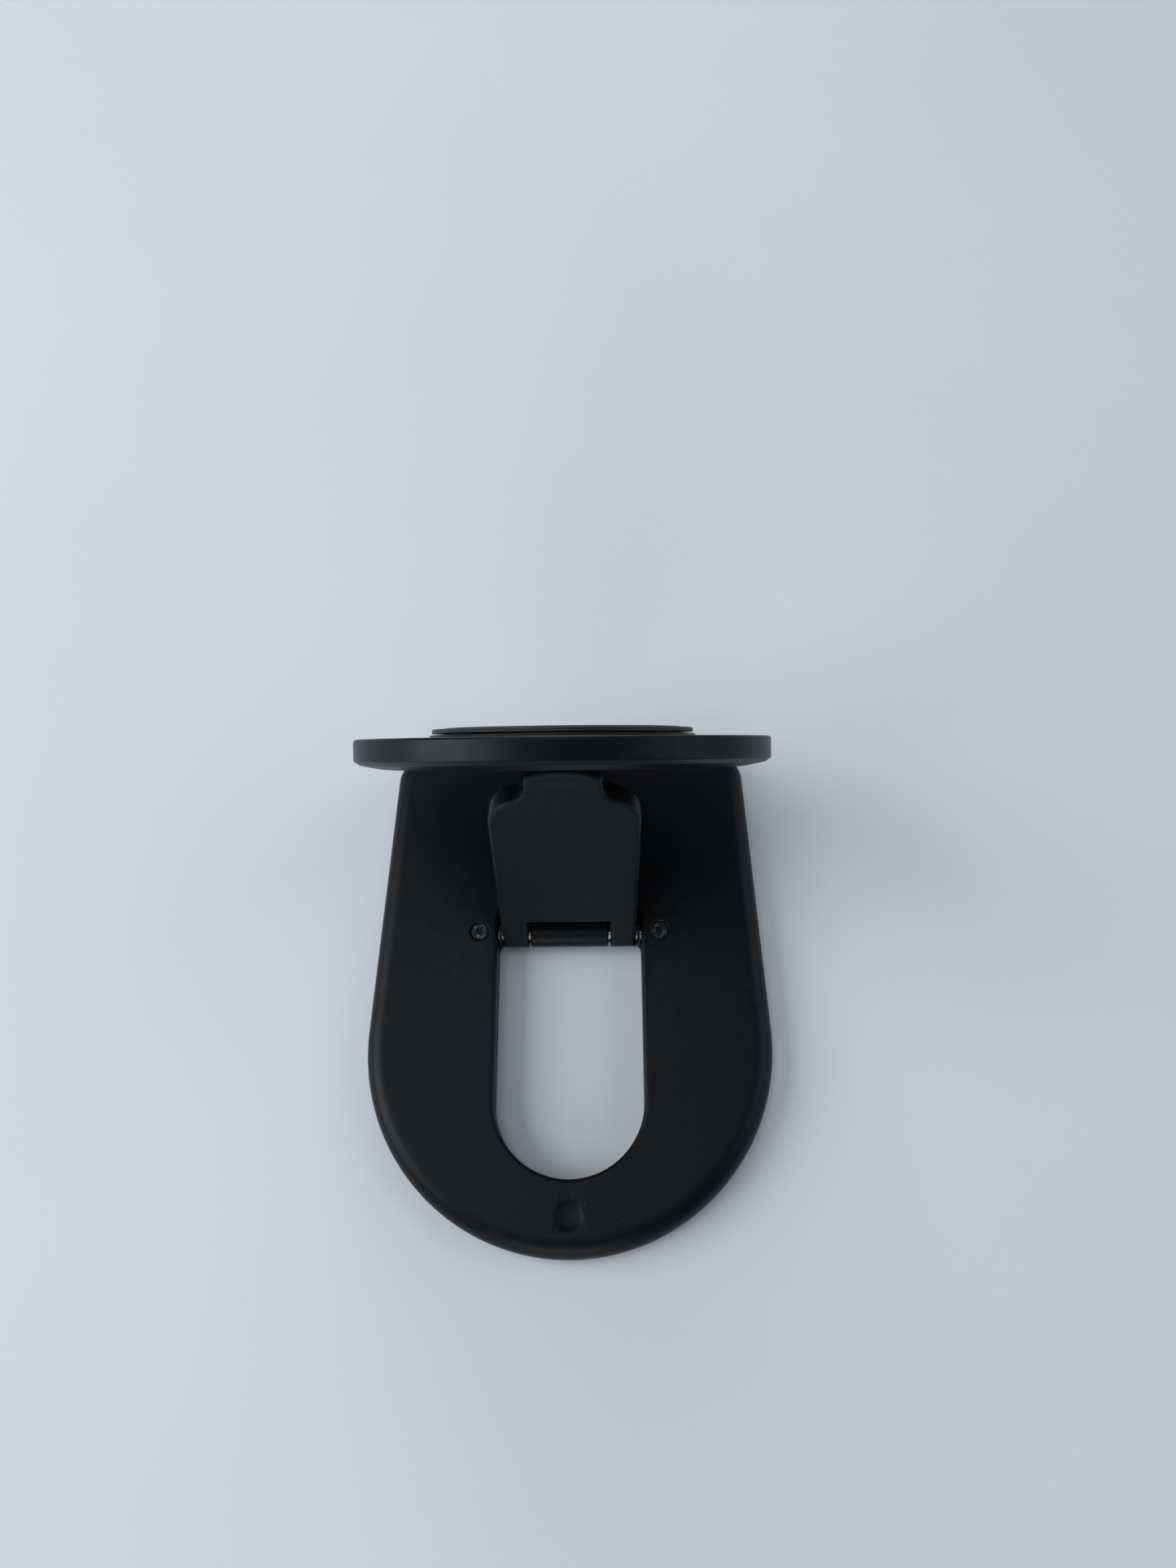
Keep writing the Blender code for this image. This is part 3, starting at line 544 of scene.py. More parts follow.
def makeAdhesivePad(p):
    low, high = (corner.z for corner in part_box("adhesive_pad"))
    shape = bmesh.new()
    walls = []
    for outlineAt in (lambda i: loopOutline(basePlate, p["inset"] + i),
                      lambda i: slotOutline(basePlate, i, p["slotHingeY"])):
        rings = []
        for k in range(p["rows"] + 1):
            t = k / p["rows"]
            # the cut edge of the foam is squeezed, so it bellies a little at half height
            rings.append(ringOf(shape, outlineAt(p["bulge"] * (2 * t - 1) ** 2), low + (high - low) * t))
        for lower, upper in zip(rings, rings[1:]):
            skin(shape, lower, upper)
        walls.append(rings)
    for k in (0, -1):
        fillBetween(shape, walls[0][k], walls[1][k])
    piece = newPiece("foamPad", meshFrom("foamPad", shape))
    return finish(piece, "adhesive_foam", "base", ["adhesive_pad"])


makeAdhesivePad(adhesivePad)


armBody = {
    "halfThickness": 0.0019, "earHalf": 0.0099, "bodyHalf": 0.0104, "earInner": 0.0061, "notch": 0.0046,
    "shoulderHeight": 0.0249, "shoulderRadius": 0.0046, "sweep": 74, "neckHalf": 0.0052, "neckHeight": 0.0313,
    "tipCentre": 0.0245, "tipRadius": 0.0102, "forkHalf": 0.0026, "forkRoom": 0.00145, "forkReach": 0.006,
    "earEnd": -0.004, "shoulderLead": 0.0008, "neckLead": 0.0013, "overcut": 0.002, "clear": 0.005,
    "bevelHeight": 0.0018, "edge": 0.0007, "bushBore": 0.00142, "tiltBore": 0.0007, "floor": 0.0012,
    "flatFrom": 0.0006, "endClear": 0.012,
    "pocketSide": 0.0013, "pocketFoot": 0.0016, "pocketTop": 0.0032, "pocketRound": 0.0034,
    "pocketCorner": 0.001, "coverGap": 0.0002, "coverThick": 0.0009, "coverEdge": 0.00018,
    "screwHeights": (0.0095, 0.0215),
    "sinkWide": 0.0027, "sinkTop": 0.0017, "sinkHole": 0.0009, "sinkDeep": 0.0008,
}
restAngle = math.acos(max(-1.0, min(1.0, (pivot - hinge).normalized().dot(faceNormal))))


def armFront(a):
    # the tongue seen square on: ears, a round shoulder each side, then a soft curve in to the neck
    shoulderX = a["bodyHalf"] - a["shoulderRadius"]
    right = [(a["earInner"], a["earEnd"]), (a["earHalf"], a["earEnd"]), (a["earHalf"], 0.0)]
    right += arc(shoulderX, a["shoulderHeight"], a["shoulderRadius"], 0, a["sweep"], 24)
    turn = math.radians(a["sweep"])
    start = Vector(right[-1])
    over = start + Vector((-math.sin(turn), math.cos(turn))) * a["shoulderLead"]
    end = Vector((a["neckHalf"], a["neckHeight"]))
    bend = end - Vector((0.0, a["neckLead"]))
    for k in range(1, 11):
        # a curve through four guide points
        t = k / 10
        spot = start * (1 - t) ** 3 + over * 3 * t * (1 - t) ** 2 + bend * 3 * t * t * (1 - t) + end * t ** 3
        right.append((spot.x, spot.y))
    reach = math.degrees(math.acos(a["neckHalf"] / a["tipRadius"]))
    right += arc(0.0, a["tipCentre"], a["tipRadius"], reach + 1, 90, 14)
    left = [(-x, z) for x, z in reversed(right[:-1])]
    return right + left + [(-a["earInner"], a["notch"]), (a["earInner"], a["notch"])]


def insetBy(outline, width):
    # the same outline drawn in evenly by a width
    points = []
    count = len(outline)
    for i in range(count):
        before, here, after = (Vector(outline[(i + k) % count]) for k in (-1, 0, 1))
        one, two = (here - before).normalized(), (after - here).normalized()
        oneIn, twoIn = Vector((-one.y, one.x)), Vector((-two.y, two.x))
        points.append(tuple(here + (oneIn + twoIn) * (width / (1 + oneIn.dot(twoIn)))))
    return points


def softPlate(name, outline, half, edge, steps=5):
    # an outline given its thickness along Y, with both rims rounded over
    shape = bmesh.new()
    rows = []
    for k in range(steps + 1):
        angle = math.pi / 2 * k / steps
        rows.append((edge * (1 - math.sin(angle)), edge * (1 - math.cos(angle)) - half))
    rows += [(inset, -y) for inset, y in reversed(rows)]
    rings = [[shape.verts.new((x, y, z)) for x, z in insetBy(outline, inset)] for inset, y in rows]
    for lower, upper in zip(rings, rings[1:]):
        skin(shape, lower, upper)
    shape.faces.new(rings[0])
    shape.faces.new(rings[-1])
    return newPiece(name, meshFrom(name, shape))


def armSide(a):
    # the tongue seen from its edge: round at the hinge, clear of the plate's faces above it
    t = a["halfThickness"]
    wide, low, high = t + a["overcut"], a["flatFrom"], armLength + a["endClear"]
    return arc(0.0, 0.0, t, 180, 360, 28) + [(wide, low), (wide, high), (-wide, high), (-wide, low)]


def armEndCut(a):
    # what comes off the end, so that it lies parallel to the disc's back
    clear, top = a["clear"], a["endClear"]
    slope = [(y, (a["bevelHeight"] - y * math.sin(restAngle)) / math.cos(restAngle)) for y in (clear, -clear)]
    return [(y, armLength + z) for y, z in slope + [(-clear, top), (clear, top)]]


def forkRoom(a):
    # room for the swivel's tab, open to the back and the end, closed to the front
    room = a["forkRoom"]
    turn = math.pi / 2 - restAngle
    side = (-room * math.sin(turn), room * math.cos(turn))
    far = (side[0] + a["forkReach"] * math.cos(turn), side[1] + a["forkReach"] * math.sin(turn))
    points = [(a["clear"], -room)] + arc(0.0, 0.0, room, 270, math.degrees(math.atan2(side[1], side[0])), 16)
    return [(y, armLength + z) for y, z in points + [far, (a["clear"], far[1])]]


def pocketOutline(a, inset):
    # the hollow in the arm's back, which the cover closes
    half = a["earHalf"] - a["pocketSide"] - inset
    low = a["notch"] + a["pocketFoot"] + inset
    high = armLength - a["pocketTop"] - inset
    big, small = a["pocketRound"] - inset, a["pocketCorner"]
    points = arc(half - small, low + small, small, -90, 0, 6)
    points += arc(half - big, high - big, big, 0, 90, 14)
    points += arc(big - half, high - big, big, 90, 180, 14)
    points += arc(small - half, low + small, small, 180, 270, 6)
    return points


def makeArmBody(a):
    t = a["halfThickness"]
    reach = a["bodyHalf"] + a["overcut"]
    piece = softPlate("armTongue", armFront(a), t, a["edge"])
    combine(piece, prism("armSideShape", armSide(a), -reach, reach, across="X"), "INTERSECT")
    combine(piece, rod("bushBore", a["bushBore"], -reach, reach, (0, 0)))
    combine(piece, rod("tiltBore", a["tiltBore"], -reach, reach, (0, armLength)))
    combine(piece, prism("armEndCut", armEndCut(a), -reach, reach, across="X"))
    combine(piece, prism("forkRoom", forkRoom(a), -a["forkHalf"], a["forkHalf"], across="X"))
    pocket = pocketOutline(a, 0.0)
    combine(piece, prism("backPocket", pocket, a["floor"] - t, t + a["overcut"], across="Y"))
    plain(piece)
    piece.data.transform(armSpace)
    return finish(piece, "arm_plastic", "arm", ["arm_body"])


def makeArmCover(a):
    t = a["halfThickness"]
    piece = prism("armBackCover", pocketOutline(a, a["coverGap"]), t - a["coverThick"], t, across="Y")
    softenEdges(piece, a["coverEdge"], 3)
    plain(piece)
    above, hole = t + a["sinkWide"] - a["sinkTop"], a["sinkHole"]
    sinkShape = [(0.0, above), (a["sinkWide"], above), (a["sinkTop"], t), (hole, t - a["sinkDeep"])]
    sinkShape += [(hole, -t), (0.0, -t)]
    for z in a["screwHeights"]:
        sink = turned("armSink", sinkShape, 48)
        sink.data.transform(Matrix.Translation((0, 0, z)) @ Matrix.Rotation(-math.pi / 2, 4, "X"))
        combine(piece, sink)
    plain(piece)
    piece.data.transform(armSpace)
    return finish(piece, "arm_plastic", "arm", ["arm_back_cover"])


makeArmBody(armBody)
makeArmCover(armBody)


swivel = {
    "postRadius": 0.0052, "postLow": 0.0021, "flangeLow": 0.0037, "flangeHigh": 0.0043,
    "flangeRadius": 0.0074, "tabHalf": 0.002, "tabRadius": 0.0013, "tabSink": 0.0008, "tabEdge": 0.00025,
    "bore": 0.0007, "edge": 0.0002, "boreReach": 0.01,
}


def makeSwivel(s):
    e = s["edge"]
    profile = [(0.0, s["flangeHigh"]), (s["flangeRadius"] - e, s["flangeHigh"])]
    profile += [(s["flangeRadius"], s["flangeHigh"] - e), (s["flangeRadius"], s["flangeLow"])]
    profile += [(s["postRadius"], s["flangeLow"]), (s["postRadius"], s["postLow"] + e)]
    profile += [(s["postRadius"] - e * 0.3, s["postLow"] + e * 0.3), (s["postRadius"] - e, s["postLow"])]
    profile += [(0.0, s["postLow"])]
    piece = turned("swivelPost", profile, 96)
    tab = arc(0.0, 0.0, s["tabRadius"], 180, 360, 28)
    tabTop = s["postLow"] + s["tabSink"]
    tab += [(s["tabRadius"], tabTop), (-s["tabRadius"], tabTop)]
    tabPiece = prism("swivelTab", tab, -s["tabHalf"], s["tabHalf"], across="X")
    softenEdges(tabPiece, s["tabEdge"], 3)
    combine(piece, tabPiece, "UNION")
    combine(piece, rod("tabBore", s["bore"], -s["boreReach"], s["boreReach"], (0, 0), steps=32))
    plain(piece)
    piece.data.transform(headSpace)
    return finish(piece, "head_plastic", "swivel", ["swivel_bracket"])


makeSwivel(swivel)


head = {
    "radius": 0.0273, "back": 0.0023, "backFlat": 0.0235, "rimBack": 0.0029, "rimFront": 0.0062, "wall": 0.001,
    "lipWidth": 0.0008, "lipHeight": 0.0005, "hole": 0.0055, "frontEdge": 0.0004, "landRadius": 0.0175,
    "landFront": 0.0067, "coverBack": 0.0055, "padFront": 0.0076, "padLow": 0.0069, "steps": 160,
    "ribHeight": 0.00014, "bossTop": 0.0043, "bossRadius": 0.0018, "bossCircle": 0.0096, "boreRadius": 0.0008,
    "boreTop": 0.007, "bossSink": 0.0006, "fineEdge": 0.0002, "seam": 0.00015, "coverGroove": 0.0022,
    "grooveDepth": 0.00018, "landFoot": 0.00025, "landEdge": 0.0004, "padEdge": 0.0003, "padGap": 0.0003,
    "yoke": 0.0004, "magnetIn": 0.0224, "magnetOut": 0.0256, "magnetGap": 2.4, "magnetClear": 0.0001,
    "ribs": 8, "ribFirst": 0.0028, "ribPitch": 0.0018, "ribRadius": 0.00022,
}


def bossPlaces():
    places = []
    for index in range(3):
        angle = math.radians(90 + 120 * index)
        places.append((head["bossCircle"] * math.cos(angle), head["bossCircle"] * math.sin(angle)))
    return places


def makeHeadShell(h):
    r, e = h["radius"], h["frontEdge"]
    floor = h["back"] + h["wall"]
    wall = r - h["wall"]
    profile = list(reversed(arc(r - e, h["rimFront"] - e, e, 0, 90, 5)))
    profile += [(r, h["rimBack"] + h["lipHeight"] + h["seam"]), (r - 0.00006, h["rimBack"] + h["lipHeight"])]
    profile += [(r - h["lipWidth"] + 0.0001, h["rimBack"] + 0.00004), (r - h["lipWidth"], h["rimBack"])]
    inner = r - h["lipWidth"]
    for k in range(1, 6):
        # the dished back eases into its flat middle
        t = k / 6
        x = inner + (h["backFlat"] - inner) * t
        profile.append((x, h["back"] + (h["rimBack"] - h["back"]) * (1 - t) ** 1.15))
    profile += [(h["backFlat"] - 0.0004, h["back"] + 0.00001), (h["backFlat"] - 0.001, h["back"])]
    fine, hole, seam = h["fineEdge"], h["hole"], h["seam"]
    profile += [(hole + fine, h["back"]), (hole, h["back"] + fine), (hole, floor)]
    profile += [(h["backFlat"], floor), (wall, h["rimBack"] + h["wall"]), (wall, h["rimFront"] - seam)]
    profile += [(wall + seam, h["rimFront"])]
    piece = turned("headShell", profile, h["steps"], ring=True)
    top, foot, r = h["bossTop"], floor - h["bossSink"], h["bossRadius"]
    boss = [(0.0, top), (r, top), (r, foot), (0.0, foot)]
    top, r = h["boreTop"], h["boreRadius"]
    bore = [(0.0, top), (r, top), (r, floor), (0.0, floor)]
    for place in bossPlaces():
        combine(piece, turned("boss", boss, 32, at=place), "UNION")
        combine(piece, turned("bossBore", bore, 32, at=place))
    plain(piece)
    piece.data.transform(headSpace)
    return finish(piece, "head_plastic", "head", ["head_back_shell"])


def makeFrontCover(h):
    # a low raised land, then a shallow groove just inside the edge
    fine, rim, land, deep = h["fineEdge"], h["rimFront"], h["landRadius"], h["grooveDepth"]
    edge = h["radius"] - h["wall"] - fine
    groove = edge - h["coverGroove"]
    profile = [(0.0, h["landFront"]), (land - h["landEdge"], h["landFront"])]
    profile += list(reversed(arc(land - fine, h["landFront"] - fine, fine, 0, 90, 4)))
    profile += [(land, rim + h["landFoot"]), (land + h["landFoot"], rim), (groove - fine, rim)]
    profile += [(groove - fine / 2, rim - deep), (groove + fine / 2, rim - deep), (groove + fine, rim)]
    profile += [(edge - fine, rim), (edge, rim - fine), (edge, h["coverBack"]), (0.0, h["coverBack"])]
    piece = turned("headFront", profile, h["steps"])
    piece.data.transform(headSpace)
    return finish(piece, "head_plastic", "head", ["head_front_cover"])


class Graph:
    kinds = {int: "NodeSocketInt", float: "NodeSocketFloat", type(None): "NodeSocketMaterial"}

    def __init__(self, name, inputs):
        self.tree = bpy.data.node_groups.new(name, "GeometryNodeTree")
        self.tree.interface.new_socket("Geometry", in_out="INPUT", socket_type="NodeSocketGeometry")
        self.tree.interface.new_socket("Geometry", in_out="OUTPUT", socket_type="NodeSocketGeometry")
        for label, value in inputs.items():
            kind = self.kinds[type(value)]
            made = self.tree.interface.new_socket(label, in_out="INPUT", socket_type=kind)
            if value is not None:
                made.default_value = value
        self.start = self.tree.nodes.new("NodeGroupInput")
        self.end = self.tree.nodes.new("NodeGroupOutput")

    def given(self, label):
        return self.start.outputs[label]

    def node(self, kind, settings=None, sockets=None):
        made = self.tree.nodes.new(kind)
        for key, value in (settings or {}).items():
            setattr(made, key, value)
        for key, value in (sockets or {}).items():
            socket = made.inputs[key]
            if isinstance(value, bpy.types.NodeSocket):
                self.tree.links.new(value, socket)
            else:
                socket.default_value = value
        return made

    def maths(self, operation, first, second):
        return self.node("ShaderNodeMath", {"operation": operation}, {0: first, 1: second}).outputs[0]

    def cone(self, sides, top, bottom, depth):
        sockets = {"Vertices": sides, "Radius Top": top, "Radius Bottom": bottom, "Depth": depth}
        return self.node("GeometryNodeMeshCone", {}, sockets)

    def lifted(self, made, height):
        place = self.node("ShaderNodeCombineXYZ", {}, {2: height})
        sockets = {"Geometry": made.outputs[0], "Translation": place.outputs[0]}
        return self.node("GeometryNodeTransform", {}, sockets)

    def copied(self, points, made, turn=None, scale=None):
        sockets = {"Points": points.outputs[0], "Instance": made.outputs[0]}
        if turn:
            sockets["Rotation"] = turn.outputs[0]
        if scale:
            sockets["Scale"] = scale.outputs[0]
        return self.node("GeometryNodeInstanceOnPoints", {}, sockets)

    def ended(self, geometry):
        # instances become real faces, then take their finish
        real = self.node("GeometryNodeRealizeInstances", {}, {0: geometry})
        sockets = {"Geometry": real.outputs[0], "Material": self.given("Finish")}
        painted = self.node("GeometryNodeSetMaterial", {}, sockets)
        self.tree.links.new(painted.outputs[0], self.end.inputs[0])
        return self.tree


def grown(name, tree, values, seedMesh=None):
    # runs a tree on a piece and keeps the result as a plain mesh
    piece = newPiece(name, seedMesh or bpy.data.meshes.new(name))
    step = piece.modifiers.new("grow", "NODES")
    step.node_group = tree
    for item in tree.interface.items_tree:
        if item.in_out == "INPUT" and item.name in values:
            step[item.identifier] = values[item.name]
    return plain(piece)


def ribTree():
    # concentric ribs: circles whose radius grows with their index, each swept with a small round section
    g = Graph("padRibs", {"Count": 6, "First Radius": 0.005, "Pitch": 0.002, "Rib Radius": 0.0002,
                          "Height": 0.0, "Finish": None})
    points = g.node("GeometryNodePoints", {}, {"Count": g.given("Count")})
    index = g.node("GeometryNodeInputIndex").outputs[0]
    radius = g.maths("ADD", g.maths("MULTIPLY", index, g.given("Pitch")), g.given("First Radius"))
    circle = g.node("GeometryNodeCurvePrimitiveCircle", {}, {"Resolution": 128, "Radius": 1.0})
    size = g.node("ShaderNodeCombineXYZ", {}, {0: radius, 1: radius, 2: radius})
    rings = g.copied(points, circle, scale=size)
    real = g.node("GeometryNodeRealizeInstances", {}, {0: rings.outputs[0]})
    thick = {"Resolution": 8, "Radius": g.given("Rib Radius")}
    section = g.node("GeometryNodeCurvePrimitiveCircle", {}, thick)
    path = {"Curve": real.outputs[0], "Profile Curve": section.outputs[0]}
    swept = g.node("GeometryNodeCurveToMesh", {}, path)
    moved = g.lifted(swept, g.given("Height"))
    both = g.node("GeometryNodeJoinGeometry", {}, {0: moved.outputs[0]})
    g.tree.links.new(g.given("Geometry"), both.inputs[0])
    return g.ended(both.outputs[0])


def magnetTree():
    # arc-shaped blocks bent from a cube, copied round the ring
    g = Graph("magnetRing", {"Count": 16, "Inner": 0.02, "Outer": 0.025, "Gap Angle": 0.04, "Low": 0.0,
                             "High": 0.001, "Finish": None})
    count = g.given("Count")
    cuts = {"Size": (1.0, 1.0, 1.0), "Vertices X": 13, "Vertices Y": 3, "Vertices Z": 3}
    block = g.node("GeometryNodeMeshCube", {}, cuts)
    place = g.node("GeometryNodeInputPosition").outputs[0]
    parts = g.node("ShaderNodeSeparateXYZ", {}, {0: place})
    share = g.maths("SUBTRACT", g.maths("DIVIDE", 2 * math.pi, count), g.given("Gap Angle"))
    angle = g.maths("MULTIPLY", parts.outputs[0], share)
    middle = g.maths("MULTIPLY", g.maths("ADD", g.given("Inner"), g.given("Outer")), 0.5)
    depth = g.maths("SUBTRACT", g.given("Outer"), g.given("Inner"))
    radius = g.maths("ADD", middle, g.maths("MULTIPLY", parts.outputs[1], depth))
    x = g.maths("MULTIPLY", radius, g.maths("SINE", angle, 0.0))
    y = g.maths("MULTIPLY", radius, g.maths("COSINE", angle, 0.0))
    tall = g.maths("SUBTRACT", g.given("High"), g.given("Low"))
    level = g.maths("MULTIPLY", g.maths("ADD", g.given("Low"), g.given("High")), 0.5)
    z = g.maths("ADD", level, g.maths("MULTIPLY", parts.outputs[2], tall))
    bent = g.node("ShaderNodeCombineXYZ", {}, {0: x, 1: y, 2: z})
    bend = {"Geometry": block.outputs[0], "Position": bent.outputs[0]}
    magnet = g.node("GeometryNodeSetPosition", {}, bend)
    points = g.node("GeometryNodePoints", {}, {"Count": count})
    index = g.node("GeometryNodeInputIndex").outputs[0]
    turn = g.maths("MULTIPLY", g.maths("ADD", index, 0.5), g.maths("DIVIDE", 2 * math.pi, count))
    spin = g.node("ShaderNodeCombineXYZ", {}, {2: turn})
    return g.ended(g.copied(points, magnet, turn=spin).outputs[0])


def screwTree():
    # a head, a shank and a six-sided socket, set on every point of the piece it runs on
    g = Graph("socketScrews", {"Head Top": 0.001, "Head Bottom": 0.001, "Head Height": 0.001, "Shank": 0.0005,
                               "Shank Length": 0.002, "Socket": 0.0005, "Socket Depth": 0.0005, "Rim": 0.0001,
                               "Finish": None})
    height, rim, wide = g.given("Head Height"), g.given("Rim"), g.given("Head Top")
    # the point lies in the middle of the head's top face
    body = g.cone(40, wide, g.given("Head Bottom"), g.maths("SUBTRACT", height, rim))
    lower = g.lifted(body, g.maths("MULTIPLY", height, -1.0))
    crown = g.cone(40, g.maths("SUBTRACT", wide, rim), wide, rim)
    upper = g.lifted(crown, g.maths("MULTIPLY", rim, -1.0))
    length = g.given("Shank Length")
    stem = g.cone(32, g.given("Shank"), g.given("Shank"), length)
    drop = g.maths("ADD", length, g.maths("MULTIPLY", height, 0.5))
    shank = g.lifted(stem, g.maths("MULTIPLY", drop, -1.0))
    solid = g.node("GeometryNodeMeshBoolean", {"operation": "UNION", "solver": "EXACT"})
    for made in (lower, upper, shank):
        g.tree.links.new(made.outputs[0], solid.inputs["Mesh 2"])
    deep = g.given("Socket Depth")
    key = g.cone(6, g.given("Socket"), g.given("Socket"), g.maths("MULTIPLY", deep, 2.0))
    keyed = g.lifted(key, g.maths("MULTIPLY", deep, -1.0))
    screw = g.node("GeometryNodeMeshBoolean", {"operation": "DIFFERENCE", "solver": "EXACT"},
                   {"Mesh 1": solid.outputs[0]})
    g.tree.links.new(keyed.outputs[0], screw.inputs["Mesh 2"])
    spots = g.node("GeometryNodeMeshToPoints", {}, {0: g.given("Geometry")})
    return g.ended(g.copied(spots, screw).outputs[0])


trees = {"ribs": ribTree(), "magnets": magnetTree(), "screws": screwTree()}


def makeSoftPad(h):
    low, high = h["padLow"], h["padFront"] - h["ribHeight"]
    gap, e = h["padGap"], h["padEdge"]
    r = h["landRadius"] - gap
    profile = [(0.0, high), (r - e - gap, high)]
    profile += list(reversed(arc(r - e, high - e, e, 0, 90, 5)))
    profile += [(r, low), (0.0, low)]
    disc = turned("padDisc", profile, 128)
    toolBin.append(disc)
    values = {"Count": h["ribs"], "First Radius": h["ribFirst"], "Pitch": h["ribPitch"],
              "Rib Radius": h["ribRadius"], "Height": h["padFront"] - h["ribRadius"],
              "Finish": finishes["soft_rubber"]}
    piece = grown("gripPad", trees["ribs"], values, disc.data.copy())
    piece.data.transform(headSpace)
    return finish(piece, "soft_rubber", "head", ["soft_pad"])


def makeMagnets(h):
    magnetNodes = sorted(n for n in frame["nodes"] if n.startswith("magnet_") and n[7:].isdigit())
    yoke, clear = h["rimBack"] + h["wall"] + h["yoke"], h["magnetClear"]
    values = {"Count": len(magnetNodes), "Inner": h["magnetIn"], "Outer": h["magnetOut"],
              "Gap Angle": math.radians(h["magnetGap"]), "Low": yoke + clear, "High": h["coverBack"] - clear,
              "Finish": finishes["magnet_nickel"]}
    piece = grown("magnetRing", trees["magnets"], values)
    piece.data.transform(headSpace)
    return finish(piece, "magnet_nickel", "head", magnetNodes)


makeHeadShell(head)
makeFrontCover(head)
makeSoftPad(head)
makeMagnets(head)


screwSets = {
    "coverScrews": {
        "body": "base", "space": Matrix.Rotation(math.pi, 4, "X"),
        "places": [(x, -y, -baseLow.z) for x, y in coverScrewPlaces],
        "nodes": [f"cover_screw_{i}" for i in range(1, 5)],
        "sizes": {"Head Top": 0.0017, "Head Bottom": 0.0008, "Head Height": 0.0007, "Shank": 0.0008,
                  "Shank Length": 0.0025, "Socket": 0.0007, "Socket Depth": 0.0005, "Rim": 0.00005}},
    "hingeSetScrews": {
        "body": "base", "space": baseSpace,
        "places": [(side * basePlate["wellX"], 0.0, baseHigh.z - 0.0001) for side in (-1, 1)],
        "nodes": ["hinge_set_screw_left", "hinge_set_screw_right"],
        "sizes": {"Head Top": 0.00125, "Head Bottom": 0.00125, "Head Height": 0.0006, "Shank": 0.0010,
                  "Shank Length": 0.0003, "Socket": 0.0006, "Socket Depth": 0.0004, "Rim": 0.00012}},
    "armCoverScrews": {
        "body": "arm", "space": armSpace @ Matrix.Rotation(-math.pi / 2, 4, "X"),
        "places": [(0.0, -z, armBody["halfThickness"] - 0.00002) for z in armBody["screwHeights"]],
        "nodes": ["arm_cover_screw_1", "arm_cover_screw_2"],
        "sizes": {"Head Top": 0.0015, "Head Bottom": 0.0007, "Head Height": 0.0008, "Shank": 0.0007,
                  "Shank Length": 0.0018, "Socket": 0.0006, "Socket Depth": 0.0004, "Rim": 0.00008}},
    "retainerScrews": {
        "body": "head", "space": headSpace,
        "places": [(x, y, 0.0054) for x, y in bossPlaces()],
        "nodes": [f"retainer_screw_{i}" for i in range(1, 4)],
        "sizes": {"Head Top": 0.0014, "Head Bottom": 0.0014, "Head Height": 0.0004, "Shank": 0.0006,
                  "Shank Length": 0.0014, "Socket": 0.0006, "Socket Depth": 0.0003, "Rim": 0.0001}},
}
for name, s in screwSets.items():
    spots = bpy.data.meshes.new(name + "Spots")
    spots.from_pydata(s["places"], [], [])
    screws = grown(name, trees["screws"], {**s["sizes"], "Finish": finishes["dark_screw"]}, spots)
    screws.data.transform(s["space"])
    finish(screws, "dark_screw", s["body"], s["nodes"])

for tool in toolBin:
    bpy.data.objects.remove(tool, do_unlink=True)
print("pieces made, tools cleared:", len(toolBin))


studio = {
    "floorSize": 3.0, "floorLight": (0.72, 0.77, 0.80), "floorDark": (0.67, 0.715, 0.75),
    "world": (0.62, 0.69, 0.74), "worldStrength": 0.19,
    "lights": [
        ("keyLight", (-0.62, -0.06, 0.40), 0.60, 4.6, (0.95, 0.98, 1.0)),
        ("sideLight", (0.64, 0.06, 0.36), 0.60, 1.3, (0.94, 0.97, 1.0)),
        ("backLight", (-0.05, 0.80, 0.34), 0.60, 2.4, (0.94, 0.98, 1.0)),
        ("frontLight", (-0.08, -0.85, 0.22), 0.50, 1.7, (0.95, 0.98, 1.0)),
        ("topLight", (-0.14, 0.04, 0.80), 0.30, 0.75, (0.95, 0.98, 1.0)),
    ],
    "cameraFromHinge": (0.00566, -0.04871, 0.17215), "lookDown": 66.96, "aside": 0.871, "roll": -0.58,
    "lens": 27.09, "sensor": 36.0,
}


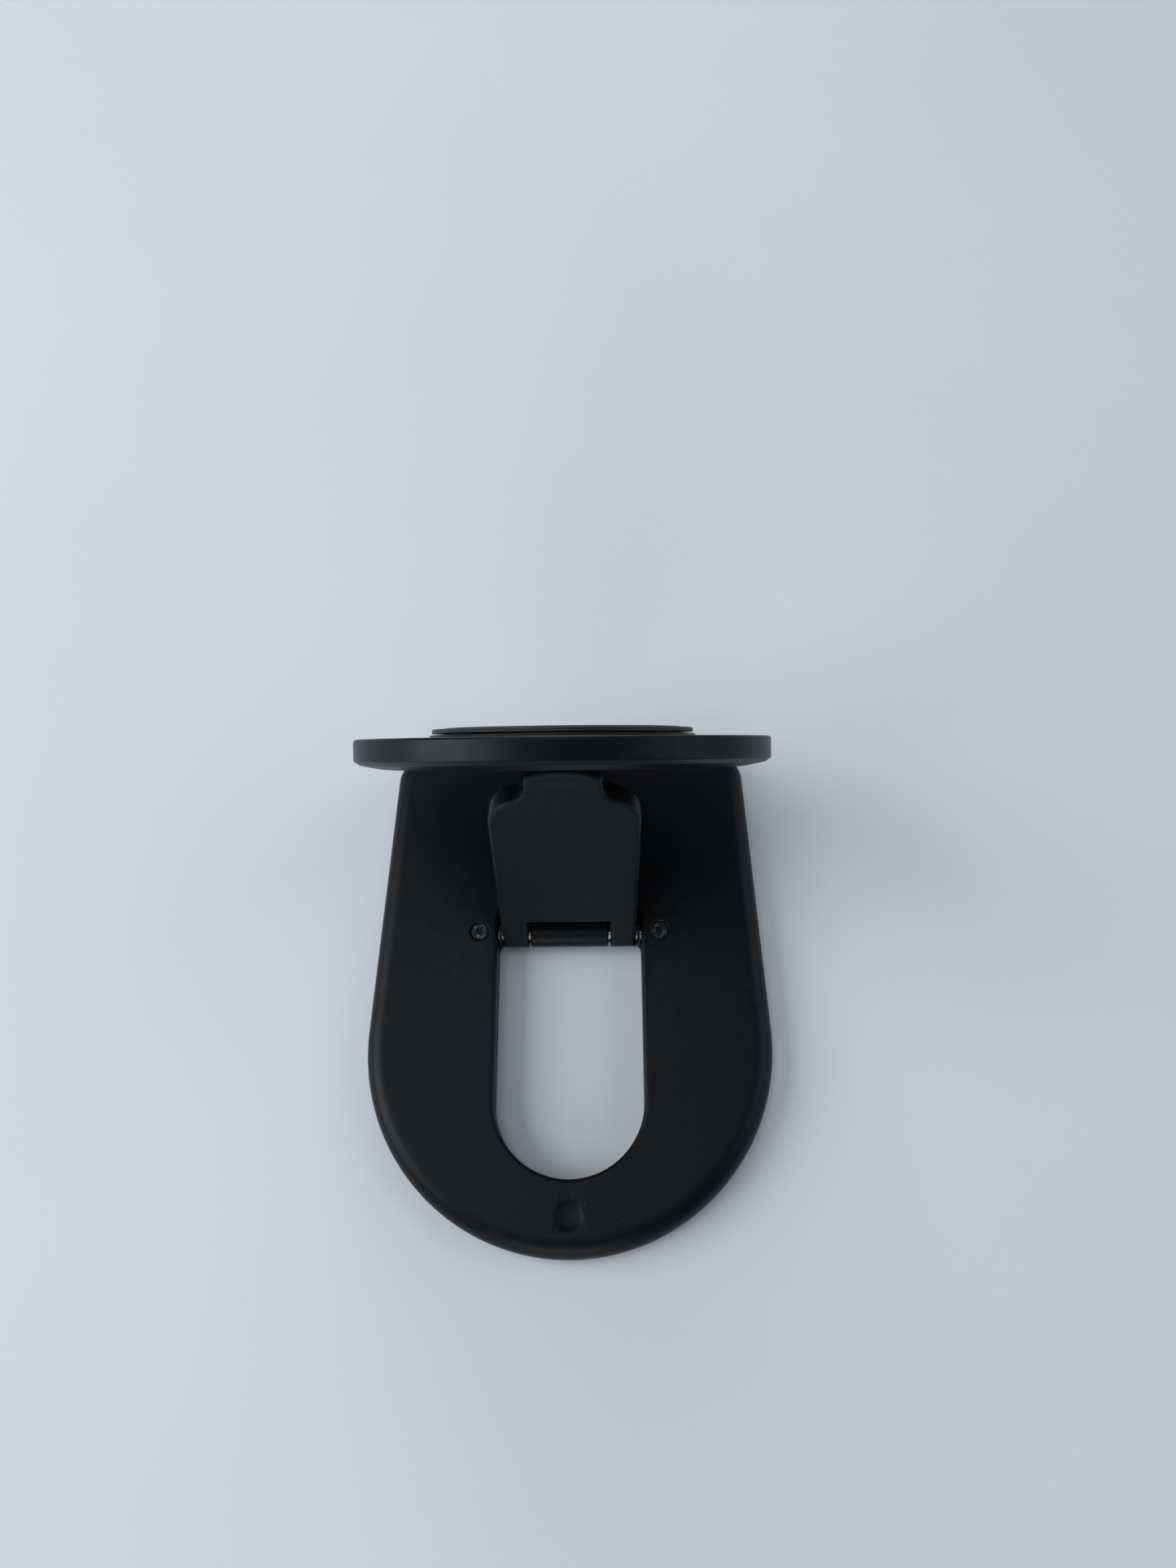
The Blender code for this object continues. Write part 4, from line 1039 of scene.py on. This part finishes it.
def makeFloor(s):
    shape = bmesh.new()
    bmesh.ops.create_grid(shape, x_segments=24, y_segments=24, size=s["floorSize"] / 2)
    mesh = bpy.data.meshes.new("floor")
    shape.to_mesh(mesh)
    shape.free()
    floor = newPiece("floor", mesh)
    f = Finish("paleTable", {"Specular IOR Level": 0.25})
    cloud = f.noise(0.09, 4.0, 0.55)
    speck = f.band(f.noise(0.0011, 2.0, 0.5), 0.70, 0.78)
    colour = f.blend(cloud, s["floorLight"], s["floorDark"])
    colour = f.blend(speck * 0.10, colour, (0.45, 0.47, 0.5))
    mesh.materials.append(f.finished(colour, 0.62 + cloud * 0.1, f.relief(f.noise(0.0007), 0.00002)))
    floor.location = (0.0, 0.0, -0.00005)


def makeLights(s):
    for name, place, size, power, colour in s["lights"]:
        light = bpy.data.lights.new(name, "AREA")
        light.energy = power
        light.size = size
        light.color = colour
        lamp = bpy.data.objects.new(name, light)
        lamp.location = place
        lamp.rotation_euler = (-Vector(place)).to_track_quat("-Z", "Y").to_euler()
        bpy.context.scene.collection.objects.link(lamp)
    world = bpy.data.worlds.new("softRoom")
    world.use_nodes = True
    sky = world.node_tree.nodes["Background"]
    sky.inputs["Color"].default_value = (*s["world"], 1.0)
    sky.inputs["Strength"].default_value = s["worldStrength"]
    bpy.context.scene.world = world


def makeCamera(s):
    lens = bpy.data.cameras.new("camera")
    lens.lens = s["lens"]
    lens.sensor_width = s["sensor"]
    lens.clip_start = 0.005
    camera = bpy.data.objects.new("camera", lens)
    camera.location = hinge + Vector(s["cameraFromHinge"])
    look = Matrix.Rotation(math.radians(90 - s["lookDown"]), 4, "X")
    for angle, axis in ((s["aside"], "Y"), (s["roll"], "Z")):
        look = look @ Matrix.Rotation(math.radians(angle), 4, axis)
    camera.rotation_euler = look.to_euler()
    bpy.context.scene.collection.objects.link(camera)
    bpy.context.scene.camera = camera


makeFloor(studio)
makeLights(studio)
makeCamera(studio)
bpy.context.scene.view_settings.view_transform = "Standard"
print("stage ready")
